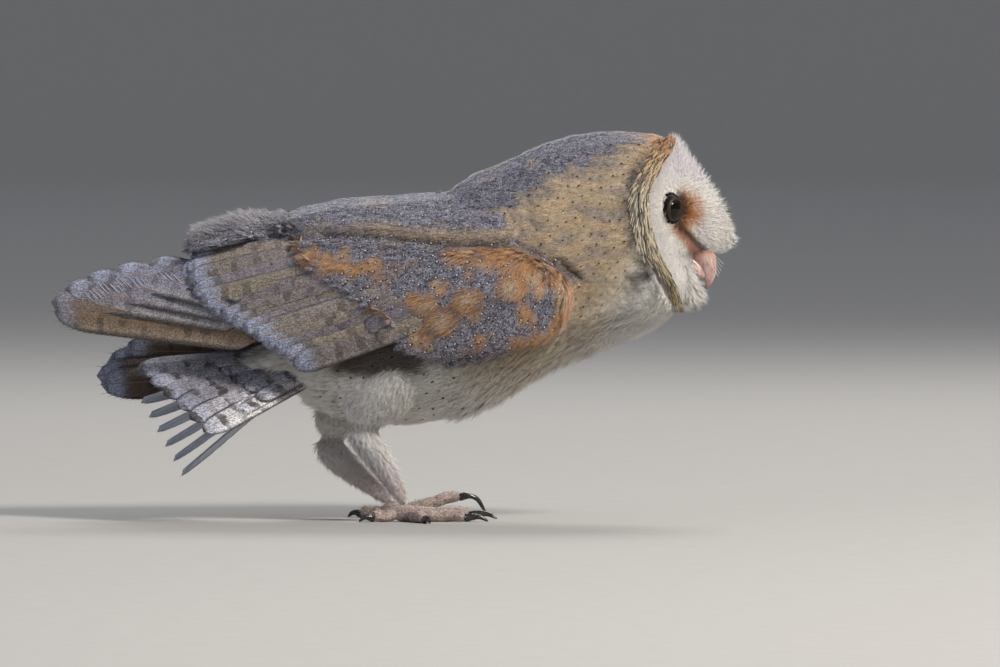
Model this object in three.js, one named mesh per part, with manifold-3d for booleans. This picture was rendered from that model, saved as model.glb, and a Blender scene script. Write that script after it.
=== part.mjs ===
// Barn owl, standing and leaning forward with its wings folded: a still, life-size model.
// Millimetres, +Z up, the bird faces +X and its right side is towards -Y. The soles stand on z = 0.
import * as THREE from 'three'
import { mergeVertices } from 'three/addons/utils/BufferGeometryUtils.js'
import Module from 'manifold-3d'

const wasm = await Module()
wasm.setup()

// ---------------------------------------------------------------- driving dimensions
const GAP = 0.3                      // parting cut between neighbouring pieces
const REACH = 120                    // half depth of a cutting block, past the widest feather
const CENTRE = new THREE.Vector3(0, 1, 0) // moves the middle of the whole bird onto the origin

const WING = {
  covert: 2.5,                       // depth of the covert layer over the flight feathers
  secondary: 5,                      // depth of the stack of secondaries
  primary: 3.4,                      // depth of the stack of primaries
  wrist: [92, 126],                  // bend of the wing, x and z
  droop: THREE.MathUtils.degToRad(9.5), // how far the left hand hangs below the right one
  fold: 0.93,                        // the left hand is folded a little further
}
const EYE = { radius: 8.2, centre: [150.6, 19.4, 171.6] }
const RECTRIX = { thickness: 0.9, count: 6 } // tail feathers on each side
const MANTLE_DEPTH = 9               // depth of the loose feathers over the back
const TERTIAL_DEPTH = 4
const TOE = { radius: 3.6, tip: 2.7, flatness: 0.95, knuckle: 1.2 }
const CLAW = { radius: 2.1, tip: 0.45, hump: 1.4, flatness: 1.1, share: 0.9 } // share: end of the last joint
const PAD = { radii: [4.6, 6.2, 4.6], reach: 7, level: 4, flatness: 0.8 }
const DISC = { depth: 26, dishing: 0.8, crowding: 1.5 }
// How finely the mouldings are cut: rows along and sides around.
const FINENESS = {
  body: [22, 18], coverts: [18, 16], inner: [10, 12], flight: [19, 18], hand: [17, 14],
  disc: 18, bill: [9, 8], eye: 12, thigh: [8, 12], tarsus: [8, 9], toe: [7, 7], claw: [6, 6], pad: [6, 10],
}

// Each row is one upright section of the body: x, top, bottom, half width and the level of that width.
const BODY_ROWS = [
  [-66, 96, 92, 0, 94],
  [-58, 124, 79, 22, 100],
  [-42, 148, 61, 35, 104],
  [-20, 165, 55, 45, 108],
  [4, 174, 51.5, 48.5, 112],
  [26, 179, 54, 49.5, 116],
  [42, 191, 57, 49.5, 124],
  [59, 198, 65, 49, 132],
  [81, 207.5, 79, 47, 142],
  [103, 213.6, 89, 45, 150],
  [125, 215, 98, 43.5, 156],
  [141, 213.8, 104, 44, 160],
  [154, 210.5, 113, 39, 163],
  [163, 201, 125, 28, 165],
  [167, 165, 163, 0, 164],
]
// The covert layer of the wings, the scapulars and the tertials, as one roof over the body.
const COVERT_ROWS = [
  [-122, 128, 118, 0, 122],
  [-112, 155, 40, 33, 108],
  [-103, 161, 40, 37, 108],
  [-84, 168, 42, 43, 110],
  [-68, 167.5, 44, 47, 112],
  [-51, 172, 46, 51, 114],
  [-34, 177, 48, 55, 116],
  [4, 180, 50, 59.5, 120],
  [26, 181.8, 52, 60.5, 122],
  [44, 184, 54, 60.5, 124],
  [59, 184, 58, 59.5, 126],
  [75, 176, 64, 57.5, 127],
  [90, 162, 72, 54, 127],
  [100, 150, 86, 47, 126],
  [106, 130, 122, 0, 126],
]
// The outer face of the folded flight feathers, which meet over the tail like a roof.
const FLIGHT_ROWS = [
  [-196, 120, 112, 0, 116],
  [-189, 129, 66, 11, 112],
  [-176, 134.5, 58, 15, 110],
  [-160, 138.5, 50, 19.5, 108],
  [-136, 143, 45, 26, 107],
  [-118, 147.5, 40, 31, 107],
  [-100, 154, 40, 36, 108],
  [-72, 161, 42, 44, 110],
  [-40, 168, 46, 51.5, 114],
  [4, 174, 50, 57, 120],
  [44, 175, 54, 58, 124],
  [60, 130, 120, 0, 124],
]
// The inner side of the left hand, which hangs open beyond the tail.
const LEFT_HAND_ROWS = [
  [-196, 88, 84, 0, 86],
  [-178, 112, 42, 33, 84],
  [-140, 128, 40, 39.5, 86],
  [-100, 138, 36, 43, 90],
  [-60, 150, 34, 46.5, 94],
  [-30, 158, 34, 49, 98],
  [-10, 108, 100, 0, 104],
]

// Outlines of the wing's feather groups seen from the side, x and z, each shared by its two neighbours.
const MANTLE_EDGE = [
  [-73, 160.6], [-58, 158.8], [-40, 160.4], [4, 159.5], [26, 156], [59, 155.6], [70, 157.4], [82, 150.5],
]
const COVERT_EDGE = [[-55, 158.8], [-51, 148.5], [-44, 139.7], [-26, 127], [-16, 121], [1.4, 110], [7, 94]]
const WRIST_EDGE = [
  [82, 150.5], [92.5, 143.5], [98.6, 135.5], [100.6, 126], [99.6, 117.5], [95, 108.5], [88, 101.8],
  [75.6, 97.2], [53.6, 89.7], [34.4, 85.2], [20, 91.5], [7, 94],
]
const SECONDARY_LOWER_EDGE = [[7, 94], [-12.4, 93], [-29, 90.6], [-42, 86.2], [-52, 83]]
const SECONDARY_TIPS = [
  [-52, 83], [-57.5, 84.6], [-59.4, 91.6], [-67, 95.4], [-72.6, 98.2], [-78.6, 103.6], [-86, 107.4],
  [-92.5, 111.6], [-99.8, 114.6], [-105.8, 120.4], [-110.4, 127.4], [-113.6, 135.6], [-113.4, 143.2],
  [-109, 148.6],
]
const TERTIAL_EDGE = [[-109, 148.6], [-101, 149.4], [-84, 153.6], [-72, 156.6], [-55, 158.8]]
const TERTIAL_TIP = [
  [-109, 148.6], [-111, 154], [-107.5, 159.5], [-98, 164.5], [-84, 172], [-62, 172], [-73, 160.6],
]
const PRIMARY_UPPER_EDGE = [
  [-109, 148.6], [-125, 146], [-135, 143.6], [-152.6, 140], [-166, 137.4], [-172.6, 135], [-178.5, 132.2],
  [-184, 128.2], [-188, 123.6], [-189.5, 118.6],
]
const PRIMARY_LOWER_EDGE = [
  [-189.5, 118.6], [-188, 114.8], [-183, 112.2], [-172, 108.8], [-150, 105.4], [-128, 100], [-106, 96],
  [-89, 93.4], [-67, 91.4], [-59.4, 91.6],
]

// ---------------------------------------------------------------- solids
const toSolid = geometry => {
  const bare = geometry.clone()
  bare.deleteAttribute('normal')
  bare.deleteAttribute('uv')
  const merged = mergeVertices(bare, 1e-4)
  const index = Uint32Array.from(merged.index.array)
  const corner = new THREE.Vector3()
  const side1 = new THREE.Vector3()
  const side2 = new THREE.Vector3()
  let volume = 0
  for (let i = 0; i < index.length; i += 3) {
    corner.fromBufferAttribute(merged.attributes.position, index[i])
    side1.fromBufferAttribute(merged.attributes.position, index[i + 1])
    side2.fromBufferAttribute(merged.attributes.position, index[i + 2])
    volume += corner.dot(side1.cross(side2))
  }
  if (volume < 0) index.reverse()
  const vertProperties = Float32Array.from(merged.attributes.position.array)
  return new wasm.Manifold(new wasm.Mesh({ numProp: 3, vertProperties, triVerts: index }))
}

// The largest body of a cut, so that a sliver left beside a parting line is dropped.
const mainBody = solid => {
  const bodies = solid.decompose()
  return bodies.reduce((best, body) => (body.volume() > best.volume() ? body : best))
}

const toGeometry = solid => {
  const mesh = mainBody(solid).getMesh()
  const geometry = new THREE.BufferGeometry()
  geometry.setAttribute('position', new THREE.BufferAttribute(Float32Array.from(mesh.vertProperties), 3))
  geometry.setIndex(new THREE.BufferAttribute(Uint32Array.from(mesh.triVerts), 1))
  geometry.computeVertexNormals()
  return geometry
}

// A smooth run through evenly spaced values, read at t from 0 to 1.
const along = (values, t) => {
  const place = t * (values.length - 1)
  const i = Math.min(Math.floor(place), values.length - 2)
  const f = place - i
  const read = k => values[THREE.MathUtils.clamp(k, 0, values.length - 1)]
  const [a, b, c, d] = [read(i - 1), read(i), read(i + 1), read(i + 2)]
  return b + 0.5 * f * (c - a + f * (2 * a - 5 * b + 4 * c - d + f * (3 * (b - c) + d - a)))
}

// A ball whose rows are laid one after another: place(t, angle, target) puts each point.
const moulded = (rows, sides, place) => {
  const geometry = new THREE.SphereGeometry(1, sides, rows)
  const { position } = geometry.attributes
  const point = new THREE.Vector3()
  for (let i = 0; i < position.count; i++) {
    const row = Math.floor(i / (sides + 1))
    const column = i % (sides + 1) % sides
    place(row / rows, (column / sides) * 2 * Math.PI, point)
    position.setXYZ(i, point.x, point.y, point.z)
  }
  return toSolid(geometry)
}

const squared = (value, power) => Math.sign(value) * Math.abs(value) ** (2 / power)

// A body of upright sections along x, grown outwards by the given margin. A power of 2 gives round
// sections, and a higher one gives squarer ones.
const hull = (sections, grow, [rows, sides], power = 2.2) => {
  const column = k => sections.map(section => section[k])
  const [xs, tops, bottoms, widths, levels] = [0, 1, 2, 3, 4].map(column)
  xs[0] -= grow
  xs[xs.length - 1] += grow
  return moulded(rows, sides, (t, angle, point) => {
    const ended = t === 0 || t === 1
    const level = along(levels, t)
    const width = ended ? 0 : Math.max(along(widths, t), 0.5) + grow
    const rise = along(tops, t) + grow - level
    const fall = level - along(bottoms, t) + grow
    const lift = ended ? 0 : squared(Math.sin(angle), power) * (Math.sin(angle) > 0 ? rise : fall)
    point.set(along(xs, t), width * squared(Math.cos(angle), power), level + lift)
  })
}

// A limb with rounded ends along a smooth curve; the radii are read evenly along it, and `flat` is its
// height for a width of 1. Its rows are closest together at its two ends.
const ROUNDING = { fullness: 1.25, power: 0.6 }
const limb = (points, radii, [rows, sides], flat = 1) => {
  const curve = new THREE.CatmullRomCurve3(points.map(p => new THREE.Vector3(...p)), false, 'centripetal')
  const chord = curve.getPoint(1).sub(curve.getPoint(0))
  const sideways = new THREE.Vector3().crossVectors(chord, new THREE.Vector3(0, 0, 1)).normalize()
  return moulded(rows, sides, (t, angle, point) => {
    const eased = (1 - Math.cos(Math.PI * t)) / 2
    const tangent = curve.getTangent(eased)
    const over = new THREE.Vector3().crossVectors(sideways, tangent).normalize()
    const across = new THREE.Vector3().crossVectors(tangent, over)
    const ended = t === 0 || t === 1
    const round = ended ? 0 : Math.min(1, ROUNDING.fullness * Math.sin(Math.PI * t) ** ROUNDING.power)
    const radius = along(radii, eased) * round
    curve.getPoint(eased, point)
    point.addScaledVector(across, radius * Math.cos(angle))
    point.addScaledVector(over, radius * flat * Math.sin(angle))
  })
}

// A flat feather from root to tip, narrow at its root and round at its tip; `face` is the direction that
// its upper side looks.
const VANE = { rows: 6, root: 0.45, opening: 0.75, tipSharpness: 9 }
const feather = (root, tip, halfWidth, thickness, face) => {
  const start = new THREE.Vector3(...root)
  const shaft = new THREE.Vector3(...tip).sub(start)
  const normal = new THREE.Vector3(...face).projectOnPlane(shaft.clone().normalize()).normalize()
  const across = new THREE.Vector3().crossVectors(shaft, normal).normalize()
  return moulded(VANE.rows, 4, (t, angle, point) => {
    const run = Math.sin((Math.PI * t) / 2) ** 0.9
    const open = t === 0 || t === 1 ? 0 : 1
    const taper = Math.sqrt(1 - run ** VANE.tipSharpness)
    const spread = open * halfWidth * Math.min(VANE.root + VANE.opening * run, 1) * taper
    point.copy(start).addScaledVector(shaft, run)
    point.addScaledVector(across, spread * Math.sign(Math.cos(angle + Math.PI / 4)))
    point.addScaledVector(normal, ((open * thickness) / 2) * Math.sign(Math.sin(angle + Math.PI / 4)))
  })
}

// An outline in x and z moved inwards by half a parting cut, so that two neighbours stay apart.
const inset = (outline, distance) => {
  const turning = outline.reduce((sum, [x, z], i) => {
    const [nextX, nextZ] = outline[(i + 1) % outline.length]
    return sum + (x * nextZ - nextX * z)
  }, 0)
  const sign = Math.sign(turning)
  const normalOf = ([ax, az], [bx, bz]) => {
    const length = Math.hypot(bx - ax, bz - az)
    return [(-sign * (bz - az)) / length, (sign * (bx - ax)) / length]
  }
  return outline.map((point, i) => {
    const before = outline[(i + outline.length - 1) % outline.length]
    const after = outline[(i + 1) % outline.length]
    const [n1, n2] = [normalOf(before, point), normalOf(point, after)]
    const spread = Math.max(0.35, 1 + n1[0] * n2[0] + n1[1] * n2[1])
    return point.map((value, k) => value + (distance * (n1[k] + n2[k])) / spread)
  })
}

// A block whose side view is the outline: side -1 is the right half, +1 the left, 0 both.
const block = (outline, side, grow = -GAP / 2) => {
  const shape = new THREE.Shape(inset(outline, -grow).map(([x, z]) => new THREE.Vector2(x, z)))
  const depth = side === 0 ? 2 * REACH : REACH
  const geometry = new THREE.ExtrudeGeometry(shape, { depth, bevelEnabled: false })
  geometry.rotateX(Math.PI / 2)
  geometry.translate(0, side === 0 ? REACH : side > 0 ? REACH + GAP / 2 : -GAP / 2, 0)
  return toSolid(geometry)
}

const backwards = points => [...points].reverse()
const mirrored = solid => solid.mirror([0, 1, 0])

// ---------------------------------------------------------------- trunk, neck and head
const bodyShape = grow => hull(BODY_ROWS, grow, FINENESS.body)
const coverts = hull(COVERT_ROWS, 0, FINENESS.coverts)
const bodyRoom = bodyShape(GAP)
const body = bodyShape(0)

const TRUNK_FRONT = [[76, 230], [74, 190], [84, 150], [98, 110], [108, 60]]
const NECK_FRONT = [[98, 230], [104, 190], [118, 150], [136, 110], [146, 60]]
// The back edge of the facial disc, bowed back at eye level.
const DISC_BACK = [
  [164, 230], [152.6, 210.6], [144.4, 203.5], [136.7, 191.4], [133.9, 176], [136.7, 159.5], [141.6, 144],
  [146.5, 132], [152.6, 121.5], [158, 114], [166, 60],
]
const between = (back, front) => [...back, ...backwards(front)]
const behind = front => [[-REACH, 230], ...front, [-REACH, 20]]

const trunk = body.intersect(block(behind(TRUNK_FRONT), 0))
const neck = body.intersect(block(between(TRUNK_FRONT, NECK_FRONT), 0))
const headBack = body.intersect(block(between(NECK_FRONT, DISC_BACK), 0))

// Level by level from the chin to the forehead: the level, the half width of the disc, the x of its rim
// and of its middle, then the front and half width of the plush ridge that stands between the eyes.
const DISC_LEVELS = [
  [114.5, 0, 160, 161, 161, 0],
  [118, 13, 157.5, 167, 167, 4],
  [123, 21, 157, 171, 171, 5],
  [131, 31, 154, 170, 170, 6],
  [140, 37.5, 149, 169.5, 169.5, 7],
  [145.6, 40.6, 146.4, 170, 170, 8],
  [146.6, 41, 146, 170, 185.5, 8.5],
  [150, 42, 145, 170.4, 188.6, 10.5],
  [156, 43.6, 142.6, 171, 189.6, 12.5],
  [163, 44.5, 141.2, 171.5, 188, 13],
  [171, 44.3, 139.8, 171.5, 184.4, 12.4],
  [180, 42.2, 139.8, 170.6, 179.3, 11.4],
  [189, 38, 143.4, 167.6, 173.4, 10],
  [198, 30, 149, 163.6, 166.4, 8],
  [206, 19, 154, 159.6, 160.6, 6],
  [211.5, 0, 156, 157, 157, 0],
]

const discPlate = moulded(DISC_LEVELS.length - 1, FINENESS.disc, (t, angle, point) => {
  const read = k => along(DISC_LEVELS.map(level => level[k]), t)
  const [z, half, rim, middle, crest, crestHalf] = [0, 1, 2, 3, 4, 5].map(read)
  const ended = t === 0 || t === 1
  const share = Math.abs(Math.sin(angle)) ** DISC.crowding
  const y = ended ? 0 : Math.max(half, 1) * share * Math.sign(Math.sin(angle))
  const dish = middle + (rim - middle) * share ** DISC.dishing
  const rise = (crest - middle) * Math.max(0, 1 - (Math.abs(y) / Math.max(crestHalf, 1)) ** 2)
  const back = rim - DISC.depth * Math.abs(Math.cos(angle))
  point.set(ended ? middle : Math.cos(angle) >= 0 ? dish + rise : back, y, z)
})

// The two halves of the bill, from under the plush to their tips.
const UPPER_BILL = {
  line: [
    [158, 0, 153], [166, 0, 150.5], [171.6, 0, 145], [174, 0, 138], [173.8, 0, 131.4], [172.4, 0, 126.8],
  ],
  radii: [5, 5.4, 5, 3.8, 2.1, 0.6],
}
const LOWER_BILL = {
  line: [[156, 0, 143], [163, 0, 138.4], [168, 0, 134.4], [171, 0, 131.4]],
  radii: [4, 4.2, 3.4, 1.8],
}
const bill = ({ line, radii }, grow) => limb(line, radii.map(r => r + grow), FINENESS.bill)
const upperBill = bill(UPPER_BILL, 0)
const upperBillRoom = bill(UPPER_BILL, GAP)
const lowerBill = bill(LOWER_BILL, 0).subtract(upperBillRoom)
const lowerBillRoom = bill(LOWER_BILL, GAP)

const ball = (centre, radius, sides) =>
  toSolid(new THREE.SphereGeometry(radius, sides, sides / 2).rotateX(Math.PI / 2).translate(...centre))
const eyeAt = side => [EYE.centre[0], side * EYE.centre[1], EYE.centre[2]]

const inFront = [...DISC_BACK, [230, 60], [230, 230]]
let disc = discPlate.intersect(block(inFront, 0))
disc = disc.subtract(upperBillRoom).subtract(lowerBillRoom)
for (const side of [-1, 1]) disc = disc.subtract(ball(eyeAt(side), EYE.radius + GAP, FINENESS.eye))

// ---------------------------------------------------------------- wings
const mantleRegion = [...MANTLE_EDGE, [110, 150.5], [110, 230], [-62, 230], [-62, 172]]
const tertialRegion = [...backwards(TERTIAL_EDGE), ...TERTIAL_TIP.slice(1), [-58, 158.8]]
const covertRegion = [...MANTLE_EDGE.slice(1), ...WRIST_EDGE.slice(1), ...backwards(COVERT_EDGE).slice(1)]
const secondaryRegion = [
  ...COVERT_EDGE, ...SECONDARY_LOWER_EDGE.slice(1), ...SECONDARY_TIPS.slice(1), ...TERTIAL_EDGE.slice(1, -1),
]
const primaryRegion = [...PRIMARY_UPPER_EDGE, ...PRIMARY_LOWER_EDGE.slice(1), ...SECONDARY_TIPS.slice(3, -1)]

// The layer between two depths under the outer face of the given sections.
const shellOf = (sections, outer, depth, fineness) =>
  hull(sections, -outer, fineness).subtract(hull(sections, -outer - depth, FINENESS.inner))

const mantle = coverts.subtract(bodyRoom).subtract(hull(COVERT_ROWS, -MANTLE_DEPTH, FINENESS.inner))
  .intersect(block(mantleRegion, 0))
const tertials = shellOf(COVERT_ROWS, 0, TERTIAL_DEPTH, FINENESS.coverts).intersect(block(tertialRegion, -1))
const wingCoverts = coverts.subtract(bodyRoom).intersect(block(covertRegion, -1))
const secondaries = shellOf(FLIGHT_ROWS, 0, WING.secondary, FINENESS.flight)
  .subtract(bodyRoom).intersect(block(secondaryRegion, -1))
const primaries = shellOf(FLIGHT_ROWS, WING.covert, WING.primary, FINENESS.flight)
  .intersect(block(primaryRegion, -1))

// The left hand: the right one's outline turned down about the wrist.
const turned = outline => outline.map(([x, z]) => {
  const [dx, dz] = [x - WING.wrist[0], z - WING.wrist[1]]
  const [c, s] = [Math.cos(WING.droop) * WING.fold, Math.sin(WING.droop) * WING.fold]
  return [WING.wrist[0] + dx * c - dz * s, WING.wrist[1] + dx * s + dz * c]
})
const HAND_ROOT = [[-45, 92], [-45, 125], [-80, 140]]
const handRegion = turned([...PRIMARY_UPPER_EDGE, ...PRIMARY_LOWER_EDGE.slice(1, -1), ...HAND_ROOT])
const leftPrimaries = shellOf(LEFT_HAND_ROWS, 0, WING.primary, FINENESS.hand)
  .intersect(block(handRegion, 1))
  .subtract(block(secondaryRegion, 1, GAP / 2))
  .subtract(block(covertRegion, 1, GAP / 2))
  .subtract(bodyRoom)

// ---------------------------------------------------------------- tail
const TAIL_COVERT_ROWS = [
  [-84, 87, 85, 0, 86],
  [-78, 90, 83, 13, 86],
  [-68, 96, 82, 19, 88],
  [-54, 104, 81, 23, 91],
  [-46, 96, 92, 0, 94],
]
const TAIL_COVERT_FINENESS = [8, 10]
const tailCoverts = hull(TAIL_COVERT_ROWS, 0, TAIL_COVERT_FINENESS).subtract(bodyRoom)
const tailRoom = hull(TAIL_COVERT_ROWS, GAP, TAIL_COVERT_FINENESS)
const mix = (from, to, share) => from.map((value, k) => value + (to[k] - value) * share)
// Each half of the fan: where its roots lie beside the coverts, its inner and outer tip, and the way
// its feathers' upper sides look there. The left half hangs open, so that its feathers stand like slats.
const RIGHT_FAN = {
  roots: [[-66, -3, 88], [-52, -14, 82]],
  tips: [[-141, -6, 83], [-102, -64, 54]],
  faces: [[0.15, -0.5, 0.9], [0.1, -0.6, 0.8]],
  halfWidths: [12.5, 8.5],
  step: 0.95,                        // how far each feather lies under the one before it
}
const LEFT_FAN = {
  roots: [[-66, 3, 87], [-58, 9, 78]],
  tips: [[-139, 8, 64], [-117, 26, 23]],
  faces: [[-0.5, 0.25, 0.9], [-0.72, 0.15, 0.76]],
  halfWidths: [12.5, 11],
  step: 0,
}
const BINDING = { place: 0.23, radii: [2.6, 3, 2.6], fineness: [5, 6] }
const fan = ({ roots, tips, faces, halfWidths, step }) => {
  const blades = []
  for (let i = 0; i < RECTRIX.count; i++) {
    const share = i / (RECTRIX.count - 1)
    const face = mix(faces[0], faces[1], share)
    const under = new THREE.Vector3(...face).multiplyScalar(-i * step)
    const lowered = point => [point[0] + under.x, point[1] + under.y, point[2] + under.z]
    const root = lowered(mix(roots[0], roots[1], share))
    const tip = lowered(mix(tips[0], tips[1], share))
    const halfWidth = THREE.MathUtils.lerp(...halfWidths, share)
    blades.push(feather(root, tip, halfWidth, RECTRIX.thickness, face))
  }
  const half = blades.reduce((sum, blade) => sum.add(blade))
  // The feathers' bases are bound together by their small coverts.
  const across = share => mix(mix(roots[0], roots[1], share), mix(tips[0], tips[1], share), BINDING.place)
  const binding = limb([0, 0.5, 1].map(across), BINDING.radii, BINDING.fineness)
  return half.add(binding).subtract(tailRoom).subtract(bodyRoom)
}
const wholeSide = [[-200, 0], [100, 0], [100, 230], [-200, 230]]
const tailRight = fan(RIGHT_FAN).intersect(block(wholeSide, -1))
const tailLeft = fan(LEFT_FAN).intersect(block(wholeSide, 1))

// ---------------------------------------------------------------- legs
const LEGS = {
  right: {
    thigh: [[10, -22, 96], [1, -25, 79], [-12, -26, 64], [-20.5, -26, 53]],
    thighRadii: [20, 20.5, 15.5, 9.4],
    tarsus: [[-21, -26, 55], [-14, -25, 44], [-6, -24, 32], [1, -23, 20], [7, -22.4, 9]],
    tarsusRadii: [8.6, 8.6, 7.2, 5.4, 4.4],
    foot: [8, -22, 4.6],
    toes: {
      inner: [[12, -20.5, 4.4], [24, -16, 2.9], [35, -12, 2], [45.5, -9, 0]],
      middle: [[13, -23, 4.6], [27, -24, 2.9], [41, -25, 2], [53, -25.6, 0]],
      outer: [[10, -27, 4.2], [14, -37, 2.9], [18, -46, 2], [21, -55, 0]],
      rear: [[3, -23, 4.2], [-5, -26, 2.9], [-11, -28.5, 2], [-18.5, -32, 0]],
    },
  },
  left: {
    thigh: [[2, 22, 96], [-12, 25, 79], [-28, 26.5, 60], [-38.5, 27, 45.5]],
    thighRadii: [20, 20.5, 15.5, 9.6],
    tarsus: [[-39.5, 27, 45.5], [-31, 26, 33.5], [-20, 25, 23.5], [-9, 24, 15], [-1, 23, 8.6]],
    tarsusRadii: [8.6, 8.2, 6.8, 5.2, 4.4],
    foot: [1, 22.4, 4.6],
    toes: {
      inner: [[6, 20, 4.6], [24, 15, 3], [44, 11, 2.2], [58, 8.4, 0]],
      middle: [[7, 22.6, 5.4], [22, 24, 8.4], [38, 25, 11.6], [52.5, 26, 0]],
      outer: [[3, 27, 4.2], [8, 37, 2.9], [12, 46, 2], [15, 55, 0]],
      rear: [[-4, 23, 4.2], [-12, 26, 2.9], [-18, 28.5, 2], [-25.5, 32, 0]],
    },
  },
}
const aboveFloor = toSolid(new THREE.BoxGeometry(500, 300, 300).translate(0, 0, 150))

// The toe lies along its line to the claw's root, and the claw humps up before it comes down to the floor.
const toeShape = ([a, b, c], grow) => {
  const knuckle = mix(b, c, 0.5)
  knuckle[2] += TOE.knuckle
  const radii = [TOE.radius, TOE.radius * 0.9, TOE.radius * 0.95, TOE.tip]
  return limb([a, b, knuckle, c], radii.map(r => r + grow), FINENESS.toe, TOE.flatness)
}
const clawShape = ([, b, c, tip]) => {
  const hump = mix(c, tip, 0.45)
  hump[2] = c[2] + CLAW.hump
  const radii = [CLAW.radius, CLAW.radius, CLAW.radius * 0.75, CLAW.tip]
  return limb([mix(b, c, CLAW.share - 0.04), c, hump, tip], radii, FINENESS.claw, CLAW.flatness)
}
// Everything past the claw's root, as a block turned along the toe.
const pastRoot = ([, b, c], grow) => {
  const cube = new THREE.BoxGeometry(REACH, REACH, REACH).translate(REACH / 2 + grow, 0, 0)
  return toSolid(cube.rotateZ(Math.atan2(c[1] - b[1], c[0] - b[0])).translate(...mix(b, c, CLAW.share)))
}
// The ball of the foot, where the toes meet.
const padShape = ([x, y, z], grow) => {
  const line = [[x - PAD.reach, y, PAD.level], [x, y, z], [x + PAD.reach, y, PAD.level]]
  return limb(line, PAD.radii.map(r => r + grow), FINENESS.pad, PAD.flatness)
}
const thighShape = (leg, grow) => limb(leg.thigh, leg.thighRadii.map(r => r + grow), FINENESS.thigh)

// ---------------------------------------------------------------- the bird
const FINISH = {
  grey: { color: 0x8d8a8c, roughness: 0.9 },
  buff: { color: 0xc79a62, roughness: 0.9 },
  white: { color: 0xeeeae4, roughness: 0.9 },
  barred: { color: 0xb9a68d, roughness: 0.8 },
  horn: { color: 0xd9a79a, roughness: 0.45 },
  toe: { color: 0xb58e84, roughness: 0.7 },
  claw: { color: 0x2b2726, roughness: 0.35 },
  eye: { color: 0x0b0807, roughness: 0.05 },
}
const owl = new THREE.Group()
const bird = new THREE.Group()
bird.position.copy(CENTRE)
owl.add(bird)

const addPiece = (name, solid, finish) => {
  const material = new THREE.MeshStandardMaterial({ ...FINISH[finish], metalness: 0 })
  const piece = new THREE.Mesh(toGeometry(solid), material)
  piece.name = name
  bird.add(piece)
}

addPiece('trunk', trunk, 'white')
addPiece('neck', neck, 'buff')
addPiece('head', headBack, 'grey')
addPiece('facial_disc', disc, 'white')
addPiece('bill_upper', upperBill, 'horn')
addPiece('bill_lower', lowerBill, 'horn')
addPiece('mantle', mantle, 'grey')
addPiece('tail_coverts', tailCoverts, 'buff')
addPiece('tail_right', tailRight, 'barred')
addPiece('tail_left', tailLeft, 'barred')

for (const [name, side] of [['right', -1], ['left', 1]]) {
  const own = solid => (side < 0 ? solid : mirrored(solid))
  addPiece(`eye_${name}`, ball(eyeAt(side), EYE.radius, FINENESS.eye), 'eye')
  addPiece(`wing_${name}_coverts`, own(wingCoverts), 'grey')
  addPiece(`wing_${name}_tertials`, own(tertials), 'grey')
  addPiece(`wing_${name}_secondaries`, own(secondaries), 'barred')
  const leg = LEGS[name]
  const hand = side < 0 ? primaries : leftPrimaries
  addPiece(`wing_${name}_primaries`, hand.subtract(thighShape(leg, GAP)), 'barred')
  const padRoom = padShape(leg.foot, GAP)
  const tarsus = limb(leg.tarsus, leg.tarsusRadii, FINENESS.tarsus).subtract(thighShape(leg, GAP))
  addPiece(`thigh_${name}`, thighShape(leg, 0).subtract(bodyRoom), 'white')
  addPiece(`tarsus_${name}`, tarsus.subtract(bodyRoom).subtract(padRoom), 'white')
  addPiece(`foot_${name}`, padShape(leg.foot, 0).intersect(aboveFloor), 'toe')
  const rooms = [padRoom]
  for (const [toeName, line] of Object.entries(leg.toes)) {
    const toe = toeShape(line, 0).subtract(pastRoot(line, -GAP / 2)).intersect(aboveFloor)
    const claw = clawShape(line).intersect(pastRoot(line, GAP / 2)).intersect(aboveFloor)
    addPiece(`toe_${name}_${toeName}`, rooms.reduce((left, room) => left.subtract(room), toe), 'toe')
    addPiece(`claw_${name}_${toeName}`, claw, 'claw')
    rooms.push(toeShape(line, GAP))
  }
}

export default owl
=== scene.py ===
# %% [markdown]
# # A barn owl in feathers
# The owl is built in layers, from the inside out: one smooth skin, small soft feathers scattered over it,
# stiff flight feathers set one by one, and last the bare parts: eyes, bill, toes and claws.
# Everything is in metres. Sizes on a bird are easier to think of in millimetres, so the values below are
# written in millimetres and turned into metres where a mesh is made.

# %% Load the fixed frame
import math

import bmesh
import bpy
import numpy as np
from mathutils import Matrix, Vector, noise
from mathutils.bvhtree import BVHTree


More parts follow.
